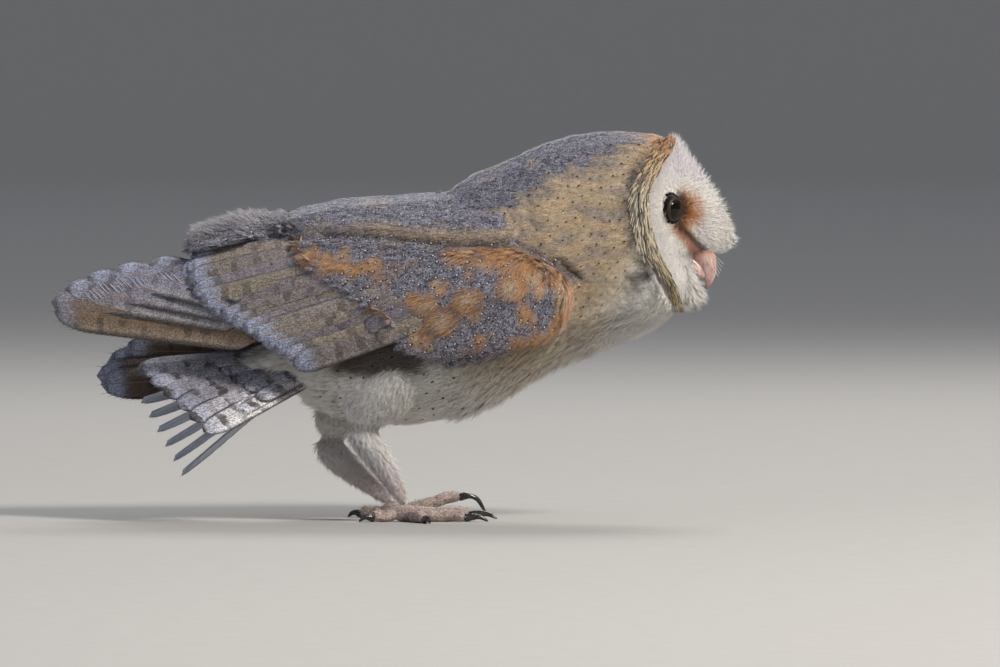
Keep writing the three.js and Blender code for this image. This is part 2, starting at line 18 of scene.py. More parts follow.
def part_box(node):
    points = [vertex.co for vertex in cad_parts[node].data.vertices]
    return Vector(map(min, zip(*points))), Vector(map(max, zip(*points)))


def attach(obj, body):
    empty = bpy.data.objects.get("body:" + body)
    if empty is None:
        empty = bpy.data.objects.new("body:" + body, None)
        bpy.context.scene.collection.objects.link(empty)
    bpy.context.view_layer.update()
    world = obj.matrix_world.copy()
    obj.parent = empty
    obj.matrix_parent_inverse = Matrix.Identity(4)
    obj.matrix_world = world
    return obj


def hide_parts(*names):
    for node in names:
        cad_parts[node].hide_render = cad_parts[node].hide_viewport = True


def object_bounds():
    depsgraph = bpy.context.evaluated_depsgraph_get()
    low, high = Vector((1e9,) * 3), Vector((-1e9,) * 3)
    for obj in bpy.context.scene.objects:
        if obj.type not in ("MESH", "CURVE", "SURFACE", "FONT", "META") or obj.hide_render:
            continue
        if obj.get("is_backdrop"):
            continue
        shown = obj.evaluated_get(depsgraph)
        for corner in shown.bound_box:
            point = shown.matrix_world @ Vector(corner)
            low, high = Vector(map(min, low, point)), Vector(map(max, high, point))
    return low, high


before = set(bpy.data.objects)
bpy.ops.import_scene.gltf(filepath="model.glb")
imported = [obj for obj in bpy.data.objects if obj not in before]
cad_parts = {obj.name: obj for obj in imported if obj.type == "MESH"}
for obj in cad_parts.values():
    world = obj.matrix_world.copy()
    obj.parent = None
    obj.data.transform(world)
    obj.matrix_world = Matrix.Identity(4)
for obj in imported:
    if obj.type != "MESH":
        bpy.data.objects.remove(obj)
CAD_BOX = [list(corner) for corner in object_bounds()]
MM = 0.001
print("frame:", len(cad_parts), "nodes, box in mm", [[round(v / MM) for v in c] for c in CAD_BOX])

# %% [markdown]
# ## Small helpers
# A ramp that eases in and out is the most useful tool for markings: it says how far a value has gone from
# one limit to another. Outlines are lists of (x, z) points in millimetres, as seen from the bird's side.

# %% Ramps, outlines and colours
def rise(value, low, high):
    share = np.clip((value - low) / (high - low), 0.0, 1.0)
    return share * share * (3 - 2 * share)


def above(x, z, outline):
    """How far points of the side view lie above a line of points, in millimetres."""
    xs, zs = np.array(sorted(outline)).T
    return z - np.interp(x, xs, zs)


def away_from(x, z, outline):
    """How far points of the side view are from a line of points, in millimetres."""
    nearest = np.full(len(x), 1e9)
    for (ax, az), (bx, bz) in zip(outline[:-1], outline[1:]):
        dx, dz = bx - ax, bz - az
        share = np.clip(((x - ax) * dx + (z - az) * dz) / (dx * dx + dz * dz), 0, 1)
        nearest = np.minimum(nearest, np.hypot(x - ax - share * dx, z - az - share * dz))
    return nearest


def paint(code):
    """A colour written as on a paint chart, RRGGBB, as the linear colour that shaders use."""
    values = [int(code[i : i + 2], 16) / 255 for i in (0, 2, 4)]
    return np.array([v / 12.92 if v <= 0.04045 else ((v + 0.055) / 1.055) ** 2.4 for v in values])


def blended(first, second, share):
    return first * (1 - share) + second * share


def unit(vectors):
    return vectors / np.maximum(np.linalg.norm(vectors, axis=-1, keepdims=True), 1e-9)


def cloud(points, size, seed=0):
    """Soft random patches about `size` millimetres across, from about -1 to 1."""
    offset = Vector((17.3, -8.1, 5.7)) * (seed + 1)
    return np.array([noise.noise(Vector(p) / size + offset) for p in points])


# %% [markdown]
# Meshes are handled in bulk. `put` stores a value at every point under a name, which node trees and materials
# can read later, and `rows_of` reads a whole layer at once; both are far quicker than going point by point.

# %% Reading and writing meshes
def put(mesh, name, values, kind="FLOAT", domain="POINT"):
    """Stores one value, vector or colour for each point of a mesh."""
    attribute = mesh.attributes.get(name) or mesh.attributes.new(name, kind, domain)
    key = {"FLOAT": "value", "INT": "value", "FLOAT_COLOR": "color"}.get(kind, "vector")
    attribute.data.foreach_set(key, np.asarray(values, np.float32).ravel())


def rows_of(layer, key="vector"):
    """All the vectors that a mesh keeps in one layer, one in each row."""
    flat = np.zeros(len(layer) * 3, np.float32)
    layer.foreach_get(key, flat)
    return flat.reshape(-1, 3).astype(float)


def mesh_from(shell, name):
    mesh = bpy.data.meshes.new(name)
    shell.to_mesh(mesh)
    shell.free()
    return mesh


def smooth(mesh):
    mesh.polygons.foreach_set("use_smooth", np.ones(len(mesh.polygons), bool))
    return mesh


def link(name, mesh):
    piece = bpy.data.objects.new(name, mesh)
    bpy.context.scene.collection.objects.link(piece)
    return piece


# %% [markdown]
# ## Landmarks
# The middle plane and the eyes are read from the frame. The outlines of the wing's feather groups are the
# lines that a person sees on the bird: where the shoulder feathers end, the bend of the wing, and the stepped
# tips of the flight feathers.

# %% Landmarks in millimetres
EYE_BOX = {name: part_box(f"eye_{name}") for name in ("right", "left")}
EYE = {name: np.array((low + high) / 2) / MM for name, (low, high) in EYE_BOX.items()}
EYE_RADIUS = (EYE_BOX["right"][1].x - EYE_BOX["right"][0].x) / 2 / MM
MIDDLE = (EYE["right"][1] + EYE["left"][1]) / 2
SIDES = {"right": -1, "left": 1}
MANTLE_EDGE = [
    (-73, 160.6), (-58, 158.8), (-40, 160.4), (4, 159.5), (26, 156), (59, 155.6), (70, 157.4), (82, 150.5),
]
COVERT_EDGE = [(-55, 158.8), (-51, 148.5), (-44, 139.7), (-26, 127), (-16, 121), (1.4, 110), (7, 94)]
WRIST_EDGE = [
    (82, 150.5), (92.5, 143.5), (98.6, 135.5), (100.6, 126), (99.6, 117.5), (95, 108.5), (88, 101.8),
    (75.6, 97.2), (53.6, 89.7), (34.4, 85.2), (20, 91.5), (7, 94),
]
BUFF_TIPS = [(68.5, 132), (45, 124), (31.5, 112.5), (-6, 112.5), (21, 121)]
FOLD_LINE = MANTLE_EDGE + [(93, 143.5), (104, 136)]
print("eyes at", EYE["right"].round(1), "radius", round(EYE_RADIUS, 2), "middle plane y =", round(MIDDLE, 2))


# The rim of the face: height, half width and place along the bird, from the chin up.
RIM = [
    (114.5, 0, 160), (118, 13, 157.5), (123, 21, 157), (131, 31, 154), (140, 37.5, 149),
    (145.6, 40.6, 146.4), (150, 42, 145), (156, 43.6, 142.6), (163, 44.5, 141.2), (171, 44.3, 139.8),
    (180, 42.2, 139.8), (189, 38, 143.4), (198, 30, 149), (206, 19, 154), (211.5, 0, 156),
]
# Each eye looks forward and out. Its lids leave an upright oval open, given as angles at the eye's centre.
LID = {"gaze": (0.7, 0.71, -0.1), "across": 0.56, "tall": 0.7, "spread": 0.74}


def tree_of(*names):
    """The faces of some frame nodes, ready for finding the nearest point or for shooting a ray at them."""
    points, faces = [], []
    for name in names:
        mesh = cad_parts[name].data
        start = len(points)
        points += [v.co / MM for v in mesh.vertices]
        faces += [[start + i for i in face.vertices] for face in mesh.polygons]
    return BVHTree.FromPolygons(points, faces)


# %% [markdown]
# ## The skin
# A bird's skin has no seams, so the flesh nodes are copied, joined and remeshed into one surface. Voxel
# remeshing is the quick way: it forgets how the pieces were parted and gives even quads. Each copy is first
# swollen a little, so that the parting cuts close. The skin is then drawn in by the depth of the coat, which
# leaves room for the feathers inside the bird's true outline.

# %% Join and remesh the flesh
FLESH = ["trunk", "neck", "head", "facial_disc", "mantle", "tail_coverts"]
FLESH += [f"{part}_{side}" for side in SIDES for part in ("thigh", "tarsus")]
FLESH += [f"wing_{side}_{part}" for side in SIDES for part in ("coverts", "tertials")]
TOE_NAMES = [f"{side}_{toe}" for side in SIDES for toe in ("inner", "middle", "outer", "rear")]
TOES = [f"foot_{side}" for side in SIDES] + [f"toe_{name}" for name in TOE_NAMES]
SWELL = 0.25 * MM
SKIN_VOXEL, TOE_VOXEL = 1.32, 0.5


def joined(names):
    shell = bmesh.new()
    for name in names:
        part = bmesh.new()
        part.from_mesh(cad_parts[name].data)
        bmesh.ops.remove_doubles(part, verts=part.verts, dist=1e-6)
        part.normal_update()
        for vertex in part.verts:
            vertex.co += vertex.normal * SWELL
        copy = mesh_from(part, name)
        shell.from_mesh(copy)
        bpy.data.meshes.remove(copy)
    return mesh_from(shell, "flesh")


def applied(piece):
    """The piece's mesh with its modifiers carried out."""
    bpy.context.view_layer.update()
    graph = bpy.context.evaluated_depsgraph_get()
    finished = piece.evaluated_get(graph)
    mesh = bpy.data.meshes.new_from_object(finished, preserve_all_data_layers=True, depsgraph=graph)
    piece.modifiers.clear()
    piece.data = mesh
    return piece


def remeshed(name, names, voxel):
    piece = link(name, joined(names))
    remesh = piece.modifiers.new("even quads", "REMESH")
    remesh.mode = "VOXEL"
    remesh.voxel_size = voxel * MM
    return applied(piece)


skin = remeshed("skin", FLESH, SKIN_VOXEL)
outer = rows_of(skin.data.vertices, "co") / MM
print("skin:", len(skin.data.polygons), "quads")

# %% [markdown]
# ### Which part of the bird is each point on?
# Every point asks each flesh node how far away it is. The nearest one gives the point its region, and the
# region gives it a coat depth, a feather length and the way that its feathers lie.

# %% Regions
near_tree = {name: tree_of(name) for name in FLESH}
distance = np.array([[near_tree[name].find_nearest(Vector(p))[3] for p in outer] for name in FLESH])
nearest = np.array(FLESH)[distance.argmin(axis=0)]
x, z = outer[:, 0], outer[:, 2]
side_out = np.abs(outer[:, 1] - MIDDLE)
edges = np.array([e.vertices[:] for e in skin.data.edges])


def is_in(*prefixes):
    return np.array([name.startswith(prefixes) for name in nearest])


def blur(values, rounds):
    """Averages each point's value with its neighbours', so that regions run into each other softly."""
    values = np.array(values, float)
    count = np.bincount(edges.ravel(), minlength=len(outer)).astype(float)
    shape = (-1,) + (1,) * (values.ndim - 1)
    for _ in range(rounds):
        total = np.zeros_like(values)
        np.add.at(total, edges[:, 0], values[edges[:, 1]])
        np.add.at(total, edges[:, 1], values[edges[:, 0]])
        values = 0.5 * values + 0.5 * total / count.reshape(shape)
    return values


FACE, HEAD = is_in("facial_disc"), is_in("head", "neck")
UPPER = is_in("mantle", "wing_")
TRUNK, TAIL_ROOT = is_in("trunk"), is_in("tail_coverts")
THIGH, TARSUS = is_in("thigh_"), is_in("tarsus_")
MANTLE, WING = is_in("mantle"), is_in("wing_")
TERTIAL = is_in("wing_right_tertials", "wing_left_tertials")
NAPE = TRUNK & (z > 150)
REAR_BACK = TERTIAL | MANTLE & (x < -55)
HALF = {name: (outer[:, 1] - MIDDLE) * side > 0 for name, side in SIDES.items()}
print({name: int((nearest == name).sum()) for name in FLESH[:6]})

# %% Draw the skin in by the depth of the coat
COAT_DEPTH = [
    (FACE, 1.3), (HEAD, 1.7), (UPPER, 2.0), (TRUNK, 2.2), (THIGH, 2.2), (TARSUS, 1.5), (TAIL_ROOT, 1.2),
    (TERTIAL, 0.5),
]
depth = np.zeros(len(outer))
for region, value in COAT_DEPTH:
    depth[region] = value
depth = blur(depth, 6)

# The fold where the shoulder feathers hang over the wing is a real groove in the skin.
GROOVE = {"depth": 3.4, "width": 3.0}
fold = np.exp(-((away_from(x, z + 1.5, FOLD_LINE) / GROOVE["width"]) ** 2))
fold = fold * (side_out > 20) * (UPPER | TRUNK | HEAD)
depth += GROOVE["depth"] * blur(fold, 2)
normals = blur(rows_of(skin.data.vertex_normals), 3)

# Where one part's feathers run on into the next one's, the step between the two parts is smoothed away.
LIGHT_BLUR, DEEP_BLUR = 5, 50
SEAMS = [(MANTLE, rise(side_out, 34, 22) * (z > 150)), (TARSUS, TARSUS | THIGH), (THIGH, TRUNK | THIGH)]
melt = np.zeros(len(outer))
for part, allowed in SEAMS:
    meeting = blur(part, 10)
    melt = np.maximum(melt, 4 * meeting * (1 - meeting) * allowed)
melt = np.maximum(melt, FACE * rise(side_out, 12, 5) * rise(z, 152, 165))
melt = blur(melt, 3)[:, None]
inner = blur(outer, LIGHT_BLUR) * (1 - melt) + blur(outer, DEEP_BLUR) * melt - unit(normals) * depth[:, None]
# The face falls back beside the bill, which leaves its root bare.
BILL_ROOM = 1.6
inner[:, 0] -= BILL_ROOM * FACE * np.exp(-((side_out / 10) ** 2)) * rise(z, 134, 140) * rise(z, 153, 147)
skin.data.vertices.foreach_set("co", (inner * MM).astype(np.float32).ravel())
skin.data.update()
smooth(skin.data)
normals = unit(rows_of(skin.data.vertex_normals))
print("skin drawn in by", depth.min().round(2), "to", depth.max().round(2), "mm")

# %% Around the eyes
GAZE = {name: unit(np.array(LID["gaze"]) * [1, side, 1]) for name, side in SIDES.items()}
EYE_REACH = 1.45
off_gaze = np.full(len(outer), 9.0)
for name in SIDES:
    toward = unit(outer - EYE[name])
    angle = np.arccos(np.clip(toward @ GAZE[name], -1, 1))
    near_eye = FACE & (np.linalg.norm(outer - EYE[name], axis=1) < EYE_REACH * EYE_RADIUS)
    off_gaze[near_eye] = np.minimum(off_gaze, angle)[near_eye]
face_cover = np.clip(rise(off_gaze, LID["spread"], LID["spread"] + 0.15), 0, 1)
print("skin points inside the lids:", int((face_cover < 0.5).sum()))

# %% [markdown]
# ### The lie of the feathers
# Feathers point away from the bill. On the body that is backwards and a little down, on the legs down the
# limb, and on the face outwards from the eye, like the petals of a flower. The directions are blurred and then
# laid flat on the surface, so the coat turns smoothly from one part to the next.

# %% Directions
LIE = [
    (HEAD, -1.0, -0.24), (NAPE, -1.0, -0.2), (MANTLE, -1.0, -0.08), (WING, -0.9, -0.42), (TERTIAL, -1.0, -0.1),
    (TRUNK & (z < 110), -1.0, -0.22), (THIGH, -0.45, -0.9), (TARSUS, 0.5, -0.86),
]
flow = np.tile([-1.0, 0.0, -0.3], (len(outer), 1))
for region, ahead, up in LIE:
    flow[region] = [ahead, 0.0, up]
flow[:, 2] -= WING * rise(x, 45, 95)
for name, side in SIDES.items():
    here = FACE & HALF[name]
    flow[here] = unit(outer[here] - (EYE[name] + [4, -side * 6, -6]))
flow[FACE, 1] *= rise(side_out[FACE], 2, 9)
flow[FACE & (z < 146)] += [0.8, 0.0, 0.0]
flow = blur(flow, 4)
flow -= normals * (flow * normals).sum(axis=1, keepdims=True)
flow = unit(flow)
put(skin.data, "flow", flow, "FLOAT_VECTOR")
put(skin.data, "out", normals, "FLOAT_VECTOR")

# %% [markdown]
# ### Markings
# The colours are mixed like paint: a base for each region, then layers with soft or ragged edges on top. Grey
# covers the crown and back, golden buff the neck, white the face and underparts. The ragged edges come from
# noise, and the same colours are used for the skin and for every feather that grows from it.

# %% Colours of the coat
TINTS = dict(
    slate="696b7d", ash="958d8c", buff="ccb088", orange="cd965e", gold="dcc29a", cream="ddd0bd", white="f3efea",
    brown="55391f", rust="ad6a3a", umber="2e190e", dusk="57504d", pink="c99184", lilac="dcd6e2", smoke="b9b2ad",
    haze="9792a3", amber="b9773a",
)
TINTS = {name: paint(code) for name, code in TINTS.items()}
GREY_EDGE = [(-80, 150), (59, 170), (70, 176), (92, 187), (114, 198), (125, 203.5), (147, 213), (160, 216)]
PALE_EDGE = [(40, 92), (80, 96), (100, 110), (114, 121), (128, 140), (136, 156), (146, 172), (160, 190)]
colour = np.tile(TINTS["white"], (len(outer), 1))
patches = cloud(outer, 16, 1)
ragged = cloud(outer, 6, 2)


def lay_over(tint, amount):
    amount = np.clip(amount, 0, 1)[:, None]
    colour[:] = colour * (1 - amount) + TINTS[tint] * amount


# %% Head, neck and underparts
front = np.maximum(HEAD | NAPE, TRUNK * rise(x, 15, 70))
above_pale = above(x, z, PALE_EDGE)
buff_share = front * rise(above_pale, -14, 12)
lay_over("smoke", front * rise(cloud(outer * [1, 1, 2], 9, 6), 0.0, 0.4) * rise(above_pale, -50, -20) * 0.5)
lay_over("cream", front * rise(above_pale, -34, -6))
lay_over("buff", buff_share * (0.85 + 0.4 * ragged))
lay_over("gold", buff_share * rise(patches, 0.05, 0.4) * 0.6)
lay_over("ash", buff_share * rise(cloud(outer * [0.4, 1, 1.2], 6, 3), 0.05, 0.35) * 0.6)
# A grey patch behind the lower ruff: partly painted shade under the ruff, partly grey feathers.
lay_over("dusk", front * rise(np.hypot((x - 137) / 8, (z - 134) / 15), 1.1, 0.3) * (0.35 + 0.6 * ragged))
grey_share = (HEAD | NAPE) * rise(above(x, z, GREY_EDGE) + 9 * ragged + 7 * patches, -9, 9)
lay_over("slate", grey_share)
lay_over("buff", grey_share * rise(cloud(outer * [0.6, 1, 1], 6, 7), 0.38, 0.55) * 0.6)
speckle = np.maximum(0.9 * grey_share, 0.3 * buff_share)
lay_over("orange", HEAD * rise(x, 138, 148) * rise(z, 186, 200) * 0.7)
behind_rim = -above(z, x, [(height, place) for height, _, place in RIM])
# Painted shade: dusk is laid in the crease just behind the ruff, where the ruff shades the head.
shade_behind_ruff = HEAD * rise(behind_rim, 15, 9) * rise(z, 118, 135) * rise(z, 206, 194)
lay_over("dusk", shade_behind_ruff * (0.5 + 0.9 * ragged))

# %% [markdown]
# The back is grey and fades to buff above the fold. The wing is grey too, with an orange band round its bend
# and orange blotches that follow the noise. `speckle` says where the fine flecks of the shader belong.

# %% Back and wings
lay_over("slate", MANTLE)
above_fold = above(x, z, MANTLE_EDGE)
lay_over("buff", MANTLE * rise(above_fold + 3 * ragged, 9, 3) * rise(x, -40, 0) * 0.85)
lay_over("buff", MANTLE * rise(patches, 0.3, 0.5) * 0.4)
speckle = np.maximum(speckle, MANTLE * (1 - 0.5 * rise(above_fold, 8, 2)))
lay_over("slate", WING)
band = WING * rise(away_from(x, z, WRIST_EDGE[:8]) + 5 * ragged, 10, 5) * rise(x, 50, 70)
over_shoulder = WING * rise(away_from(x, z, [(40, 151), (60, 150), (84, 140)]) + 4 * ragged, 10, 5)
behind = WING * rise(away_from(x, z, [(-54, 155), (-44, 148), (-24, 143), (-4, 141)]) + 7 * ragged, 9, 1)
blotch = WING * rise(cloud(outer * [1, 1, 0.6], 8, 4), 0.14, 0.34) * rise(x, -10, 20)
orange_share = np.clip(np.maximum.reduce([band, over_shoulder, behind, 0.8 * blotch]), 0, 1)
orange_share = blur(np.clip(orange_share * (1.0 + 0.7 * cloud(outer, 4, 11)), 0, 1), 1)
lay_over("orange", orange_share)
lay_over("gold", WING * rise(cloud(outer, 8, 5), 0.1, 0.5) * orange_share * 0.7)
low_wing = above(x, z, [(0, 92), (34, 86), (60, 92), (100, 110)])
lay_over("haze", TERTIAL)
fringe_top = rise(above(x, z, [(-110, 153), (-90, 161), (-62, 168)]), -5, 0)
lay_over("cream", REAR_BACK * fringe_top * (0.35 + 0.5 * ragged))
lay_over("brown", WING * rise(low_wing, 16, 2) * rise(x, 100, 50) * 0.85)
speckle = np.maximum(speckle, WING * (1 - 0.75 * orange_share))
from_tips = [np.hypot((x - cx) / 1.3, z - cz) for cx, cz in BUFF_TIPS]
for from_tip in from_tips:
    wandering = from_tip + 2 * ragged
    lay_over("orange", WING * rise(wandering, 8, 4) * 0.9)
    lay_over("cream", WING * rise(wandering, 4.5, 1.5) * 0.7)
    speckle *= 1 - 0.8 * WING * rise(wandering, 8, 4)

# The fold is painted dark umber: partly painted shade in the groove under the shoulder feathers, partly their own
# dark line.
lay_over("umber", np.clip(1.4 * blur(fold, 1), 0, 1) * rise(x, -75, -40) * 0.85)
# Painted shade: the body under the folded wing is painted dark umber, where the wing shades it.
shade_under_wing = TRUNK * (side_out > 22) * rise(z, 78, 84) * rise(x, -34, -24) * rise(x, 30, 18)
lay_over("umber", shade_under_wing * rise(z, 112, 100) * 0.9)

# %% [markdown]
# The face is white plush, with an amber stain that darkens towards the eye, and painted shade in the crease down
# to the bill.

# %% Face and legs
colour[FACE] = TINTS["white"]
lay_over("lilac", FACE * rise(z, 178, 196) * 0.6)
lay_over("lilac", FACE * rise(cloud(outer, 7, 9), 0.1, 0.5) * 0.35)
eye_dx, eye_dz = x - EYE["right"][0], z - EYE["right"][2]
front_of_eye = FACE * rise(side_out, 3, 8) * (eye_dx > 0)
stain = front_of_eye * rise(np.hypot((eye_dx - 10) / 12, (eye_dz + 2) / 15), 1.0, 0.3)
lay_over("amber", stain * (0.95 + 0.4 * ragged))
CREASE = [(157, 164), (163.5, 157.8), (168.5, 151.8), (172, 148)]
STRIP = [(158, 161), (161.6, 157), (166, 150), (169.5, 143.5)]
lay_over("rust", FACE * rise(away_from(x, z, STRIP), 4.2, 1.6) * rise(side_out, 1.5, 4) * 0.8)
lay_over("pink", FACE * rise(away_from(x, z, STRIP[2:]), 3.5, 1.5) * rise(side_out, 1, 3) * 0.7)
lay_over("umber", front_of_eye * rise(np.hypot((eye_dx - 7) / 6.6, (eye_dz + 0.5) / 10), 1.05, 0.55) * 0.9)
# Painted shade: the crease down to the bill is painted dark umber.
lay_over("umber", FACE * rise(away_from(x, z, CREASE), 2.2, 0.9) * rise(side_out, 2, 5) * 0.8)
lay_over("umber", FACE * rise(off_gaze, LID["spread"] + 0.22, LID["spread"] + 0.08) * 0.9)
lay_over("smoke", FACE * rise(behind_rim, -0.5, 1.5) * 0.8)
lay_over("smoke", FACE * rise(behind_rim, -9, -2) * 0.25)
lay_over("pink", TARSUS * rise(z, 40, 14) * 0.35)
lay_over("lilac", (TARSUS | THIGH) * rise(z, 70, 30) * 0.35)
put(skin.data, "coat_colour", np.c_[colour, np.ones(len(colour))], "FLOAT_COLOR")
put(skin.data, "speckle", blur(speckle, 1))
print("speckled points:", int((speckle > 0.5).sum()), "of", len(speckle))

# %% [markdown]
# ### An unwrap of the skin
# The export paints each feather from a small patch of an image. The patch lies at the place of the feather's
# root on a flat map of the skin: along the body one way, and round it from back to belly the other way. The
# face is laid out as it is seen from the front, and each leg is unrolled like a tube.

# %% Where each point lies on the flat map
LEG_LINE = {
    "right": [(9, 7), (20, 1), (32, -6), (44, -14), (53, -20.5), (64, -12), (79, 1), (96, 10)],
    "left": [(8.6, -1), (15, -9), (23.5, -20), (33.5, -31), (45.5, -39), (60, -28), (79, -12), (96, 2)],
}
LEG_SPREAD = 25
MAP_MARGIN, BODY_REAR, BODY_LENGTH = 0.03, -114, 298
axis_z = np.interp(x, [-60, 0, 60, 110, 165], [104, 112, 128, 160, 166])
around = np.arctan2(side_out, z - axis_z) / np.pi
nothing = np.zeros(len(x))
inside = 1 - 2 * MAP_MARGIN
patch = np.c_[MAP_MARGIN + inside * (x - BODY_REAR) / BODY_LENGTH, MAP_MARGIN + inside * around, nothing]
patch[FACE] = np.c_[0.5 + (outer[:, 1] - MIDDLE) / 115, 0.02 + 0.96 * (z - 110) / 108, nothing][FACE]
for number, (name, side) in enumerate(SIDES.items()):
    line_z, line_x = np.array(LEG_LINE[name]).T
    turn = np.arctan2(outer[:, 1] - MIDDLE - side * LEG_SPREAD, x - np.interp(z, line_z, line_x)) / (2 * np.pi)
    leg = is_in(f"thigh_{name}", f"tarsus_{name}")
    patch[leg] = np.c_[0.25 + 0.5 * number + 0.46 * turn, 0.02 + z / 115, nothing][leg]
put(skin.data, "patch", patch, "FLOAT_VECTOR")
print("flat map from", patch.min(axis=0).round(3), "to", patch.max(axis=0).round(3))

# %% [markdown]
# ## Shapes of single feathers
# Only a few shapes are modelled, each one unit long and one unit wide, lying along +X with the outside up.
# A vane is a closed leaf with a ridge for its shaft. A sliver is a closed three-sided spike, the cheapest
# solid that catches the light like a loose barb. A soft feather is nothing but slivers, fanned round a shaft.

# %% Vanes and slivers
def vane(shell, outline, ridge):
    """A closed leaf: `outline` lists (place along the shaft, half width), and `ridge` is the shaft's height."""
    root, tip = shell.verts.new((outline[0][0], 0, 0)), shell.verts.new((outline[-1][0], 0, 0))
    rows = [
        [shell.verts.new(point) for point in ((u, -half, 0), (u, 0, ridge), (u, half, 0))]
        for u, half in outline[1:-1]
    ]
    first, last = rows[0], rows[-1]
    for a, b in ((0, 1), (1, 2), (2, 0)):
        shell.faces.new((root, first[a], first[b]))
        shell.faces.new((last[a], tip, last[b]))
        for near, far in zip(rows[:-1], rows[1:]):
            shell.faces.new((near[a], far[a], far[b], near[b]))


def sliver(shell, root, tip, half):
    """A closed spike with three sides."""
    root, tip = Vector(root), Vector(tip)
    across = Vector((0, 0, 1)).cross(tip - root).normalized()
    foot = [root + across * half, root - across * half, root + Vector((0, 0, half))]
    corners = [shell.verts.new(point) for point in (*foot, tip)]
    for triple in ((0, 1, 2), (0, 3, 1), (1, 3, 2), (2, 3, 0)):
        shell.faces.new([corners[i] for i in triple])


# %% Templates
def triangles(piece):
    return sum(len(face.vertices) - 2 for face in piece.data.polygons)


def template(name, build, curl=0.0):
    """Builds one feather and gives it the map VaneUV: along the shaft, and across it."""
    shell = bmesh.new()
    build(shell)
    bmesh.ops.recalc_face_normals(shell, faces=shell.faces)
    chart = shell.loops.layers.uv.new("VaneUV")
    for face in shell.faces:
        face.smooth = True
        for loop in face.loops:
            loop[chart].uv = (loop.vert.co.x, loop.vert.co.y + 0.5)
    for vertex in shell.verts:
        vertex.co.z -= curl * vertex.co.x**2
    shape = bpy.data.objects.new(name, mesh_from(shell, name))
    print(name, "has", triangles(shape), "triangles")
    return shape


def fringe(shell, count, start, spread, thickness, seed, loose=0.12):
    """Slivers that fan out round a shaft, the middle ones longest."""
    chance = np.random.default_rng(seed)
    for number in range(count):
        side = (number + 0.5) / count * 2 - 1
        root = (start * chance.uniform(0.2, 1.0), side * spread * 0.35, 0)
        reach = 1 - 0.34 * side * side - chance.uniform(0, 0.16)
        tip = (reach, side * spread * 0.5 + chance.normal(0, 0.05), chance.uniform(-0.3, 1) * loose)
        sliver(shell, root, tip, thickness * chance.uniform(0.7, 1.2))


def velvet(shell):
    fringe(shell, 11, 0.4, 1.1, 0.048, 1)


def down(shell):
    fringe(shell, 10, 0.35, 1.1, 0.05, 2, loose=0.22)


def plush(shell):
    fringe(shell, 5, 0.3, 1.1, 0.06, 4, loose=0.2)


def drop(shell):
    vane(shell, [(0, 0), (0.2, 0.34), (0.55, 0.5), (0.85, 0.34), (1, 0)], 0.12)


def plume(shell):
    fringe(shell, 12, 0.25, 1.1, 0.034, 5, loose=0.5)


def stiff(shell):
    vane(shell, [(0, 0), (0.2, 0.42), (0.6, 0.5), (0.9, 0.34), (1, 0)], 0.3)


SHAPES = {
    shape.__name__: template(shape.__name__, shape, curl)
    for shape, curl in ((velvet, 0.2), (down, 0.25), (plush, 0.1), (drop, 0.1), (plume, 0.4), (stiff, 0.1))
}

# %% [markdown]
# ## Node trees
# One small helper adds a node, sets its options and joins its inputs. It serves geometry and shader trees.

# %% Helpers for node trees
def add(tree, kind, joins=None, **options):
    node = tree.nodes.new(kind)
    for option, value in options.items():
        setattr(node, option, value)
    for name, value in (joins or {}).items():
        if isinstance(value, bpy.types.NodeSocket):
            tree.links.new(value, node.inputs[name])
        else:
            node.inputs[name].default_value = value
    return node


def new_tree(name, kind, inputs, outputs):
    tree = bpy.data.node_groups.new(name, kind)
    for direction, sockets in (("INPUT", inputs), ("OUTPUT", outputs)):
        for label, socket in sockets:
            tree.interface.new_socket(label, in_out=direction, socket_type="NodeSocket" + socket)
    return tree, tree.nodes.new("NodeGroupInput").outputs, tree.nodes.new("NodeGroupOutput").inputs


def sums(tree, operation, first, second=0.0, third=0.0):
    joins = {0: first, 1: second} | ({2: third} if operation == "MULTIPLY_ADD" else {})
    return add(tree, "ShaderNodeMath", joins, operation=operation).outputs[0]


def times(tree, first, second):
    return sums(tree, "MULTIPLY", first, second)


def vectors(tree, operation, first, second=(0, 0, 0), scale=1.0):
    joins = {0: first, "Scale": scale} if operation == "SCALE" else {0: first, 1: second}
    return add(tree, "ShaderNodeVectorMath", joins, operation=operation).outputs[0]


def named(tree, name, kind="FLOAT"):
    return add(tree, "GeometryNodeInputNamedAttribute", {"Name": name}, data_type=kind).outputs["Attribute"]


def between(tree, low, high, seed):
    """A random number for each point."""
    joins = {2: low, 3: high, "Seed": seed}
    return add(tree, "FunctionNodeRandomValue", joins, data_type="FLOAT").outputs[1]


def stored(tree, geometry, name, value, kind="FLOAT", domain="POINT"):
    joins = {"Geometry": geometry, "Name": name, "Value": value}
    return add(tree, "GeometryNodeStoreNamedAttribute", joins, data_type=kind, domain=domain).outputs[0]


# %% [markdown]
# ### Laying soft feathers over a surface
# Points are spread evenly by Poisson sampling wherever the named cover is one. Each point turns a feather so
# that its top faces out of the skin and its shaft follows the flow, then lifts and ruffles it a little.
# Every feather shrinks its own map to a small patch at its root, which becomes the map OFBake.

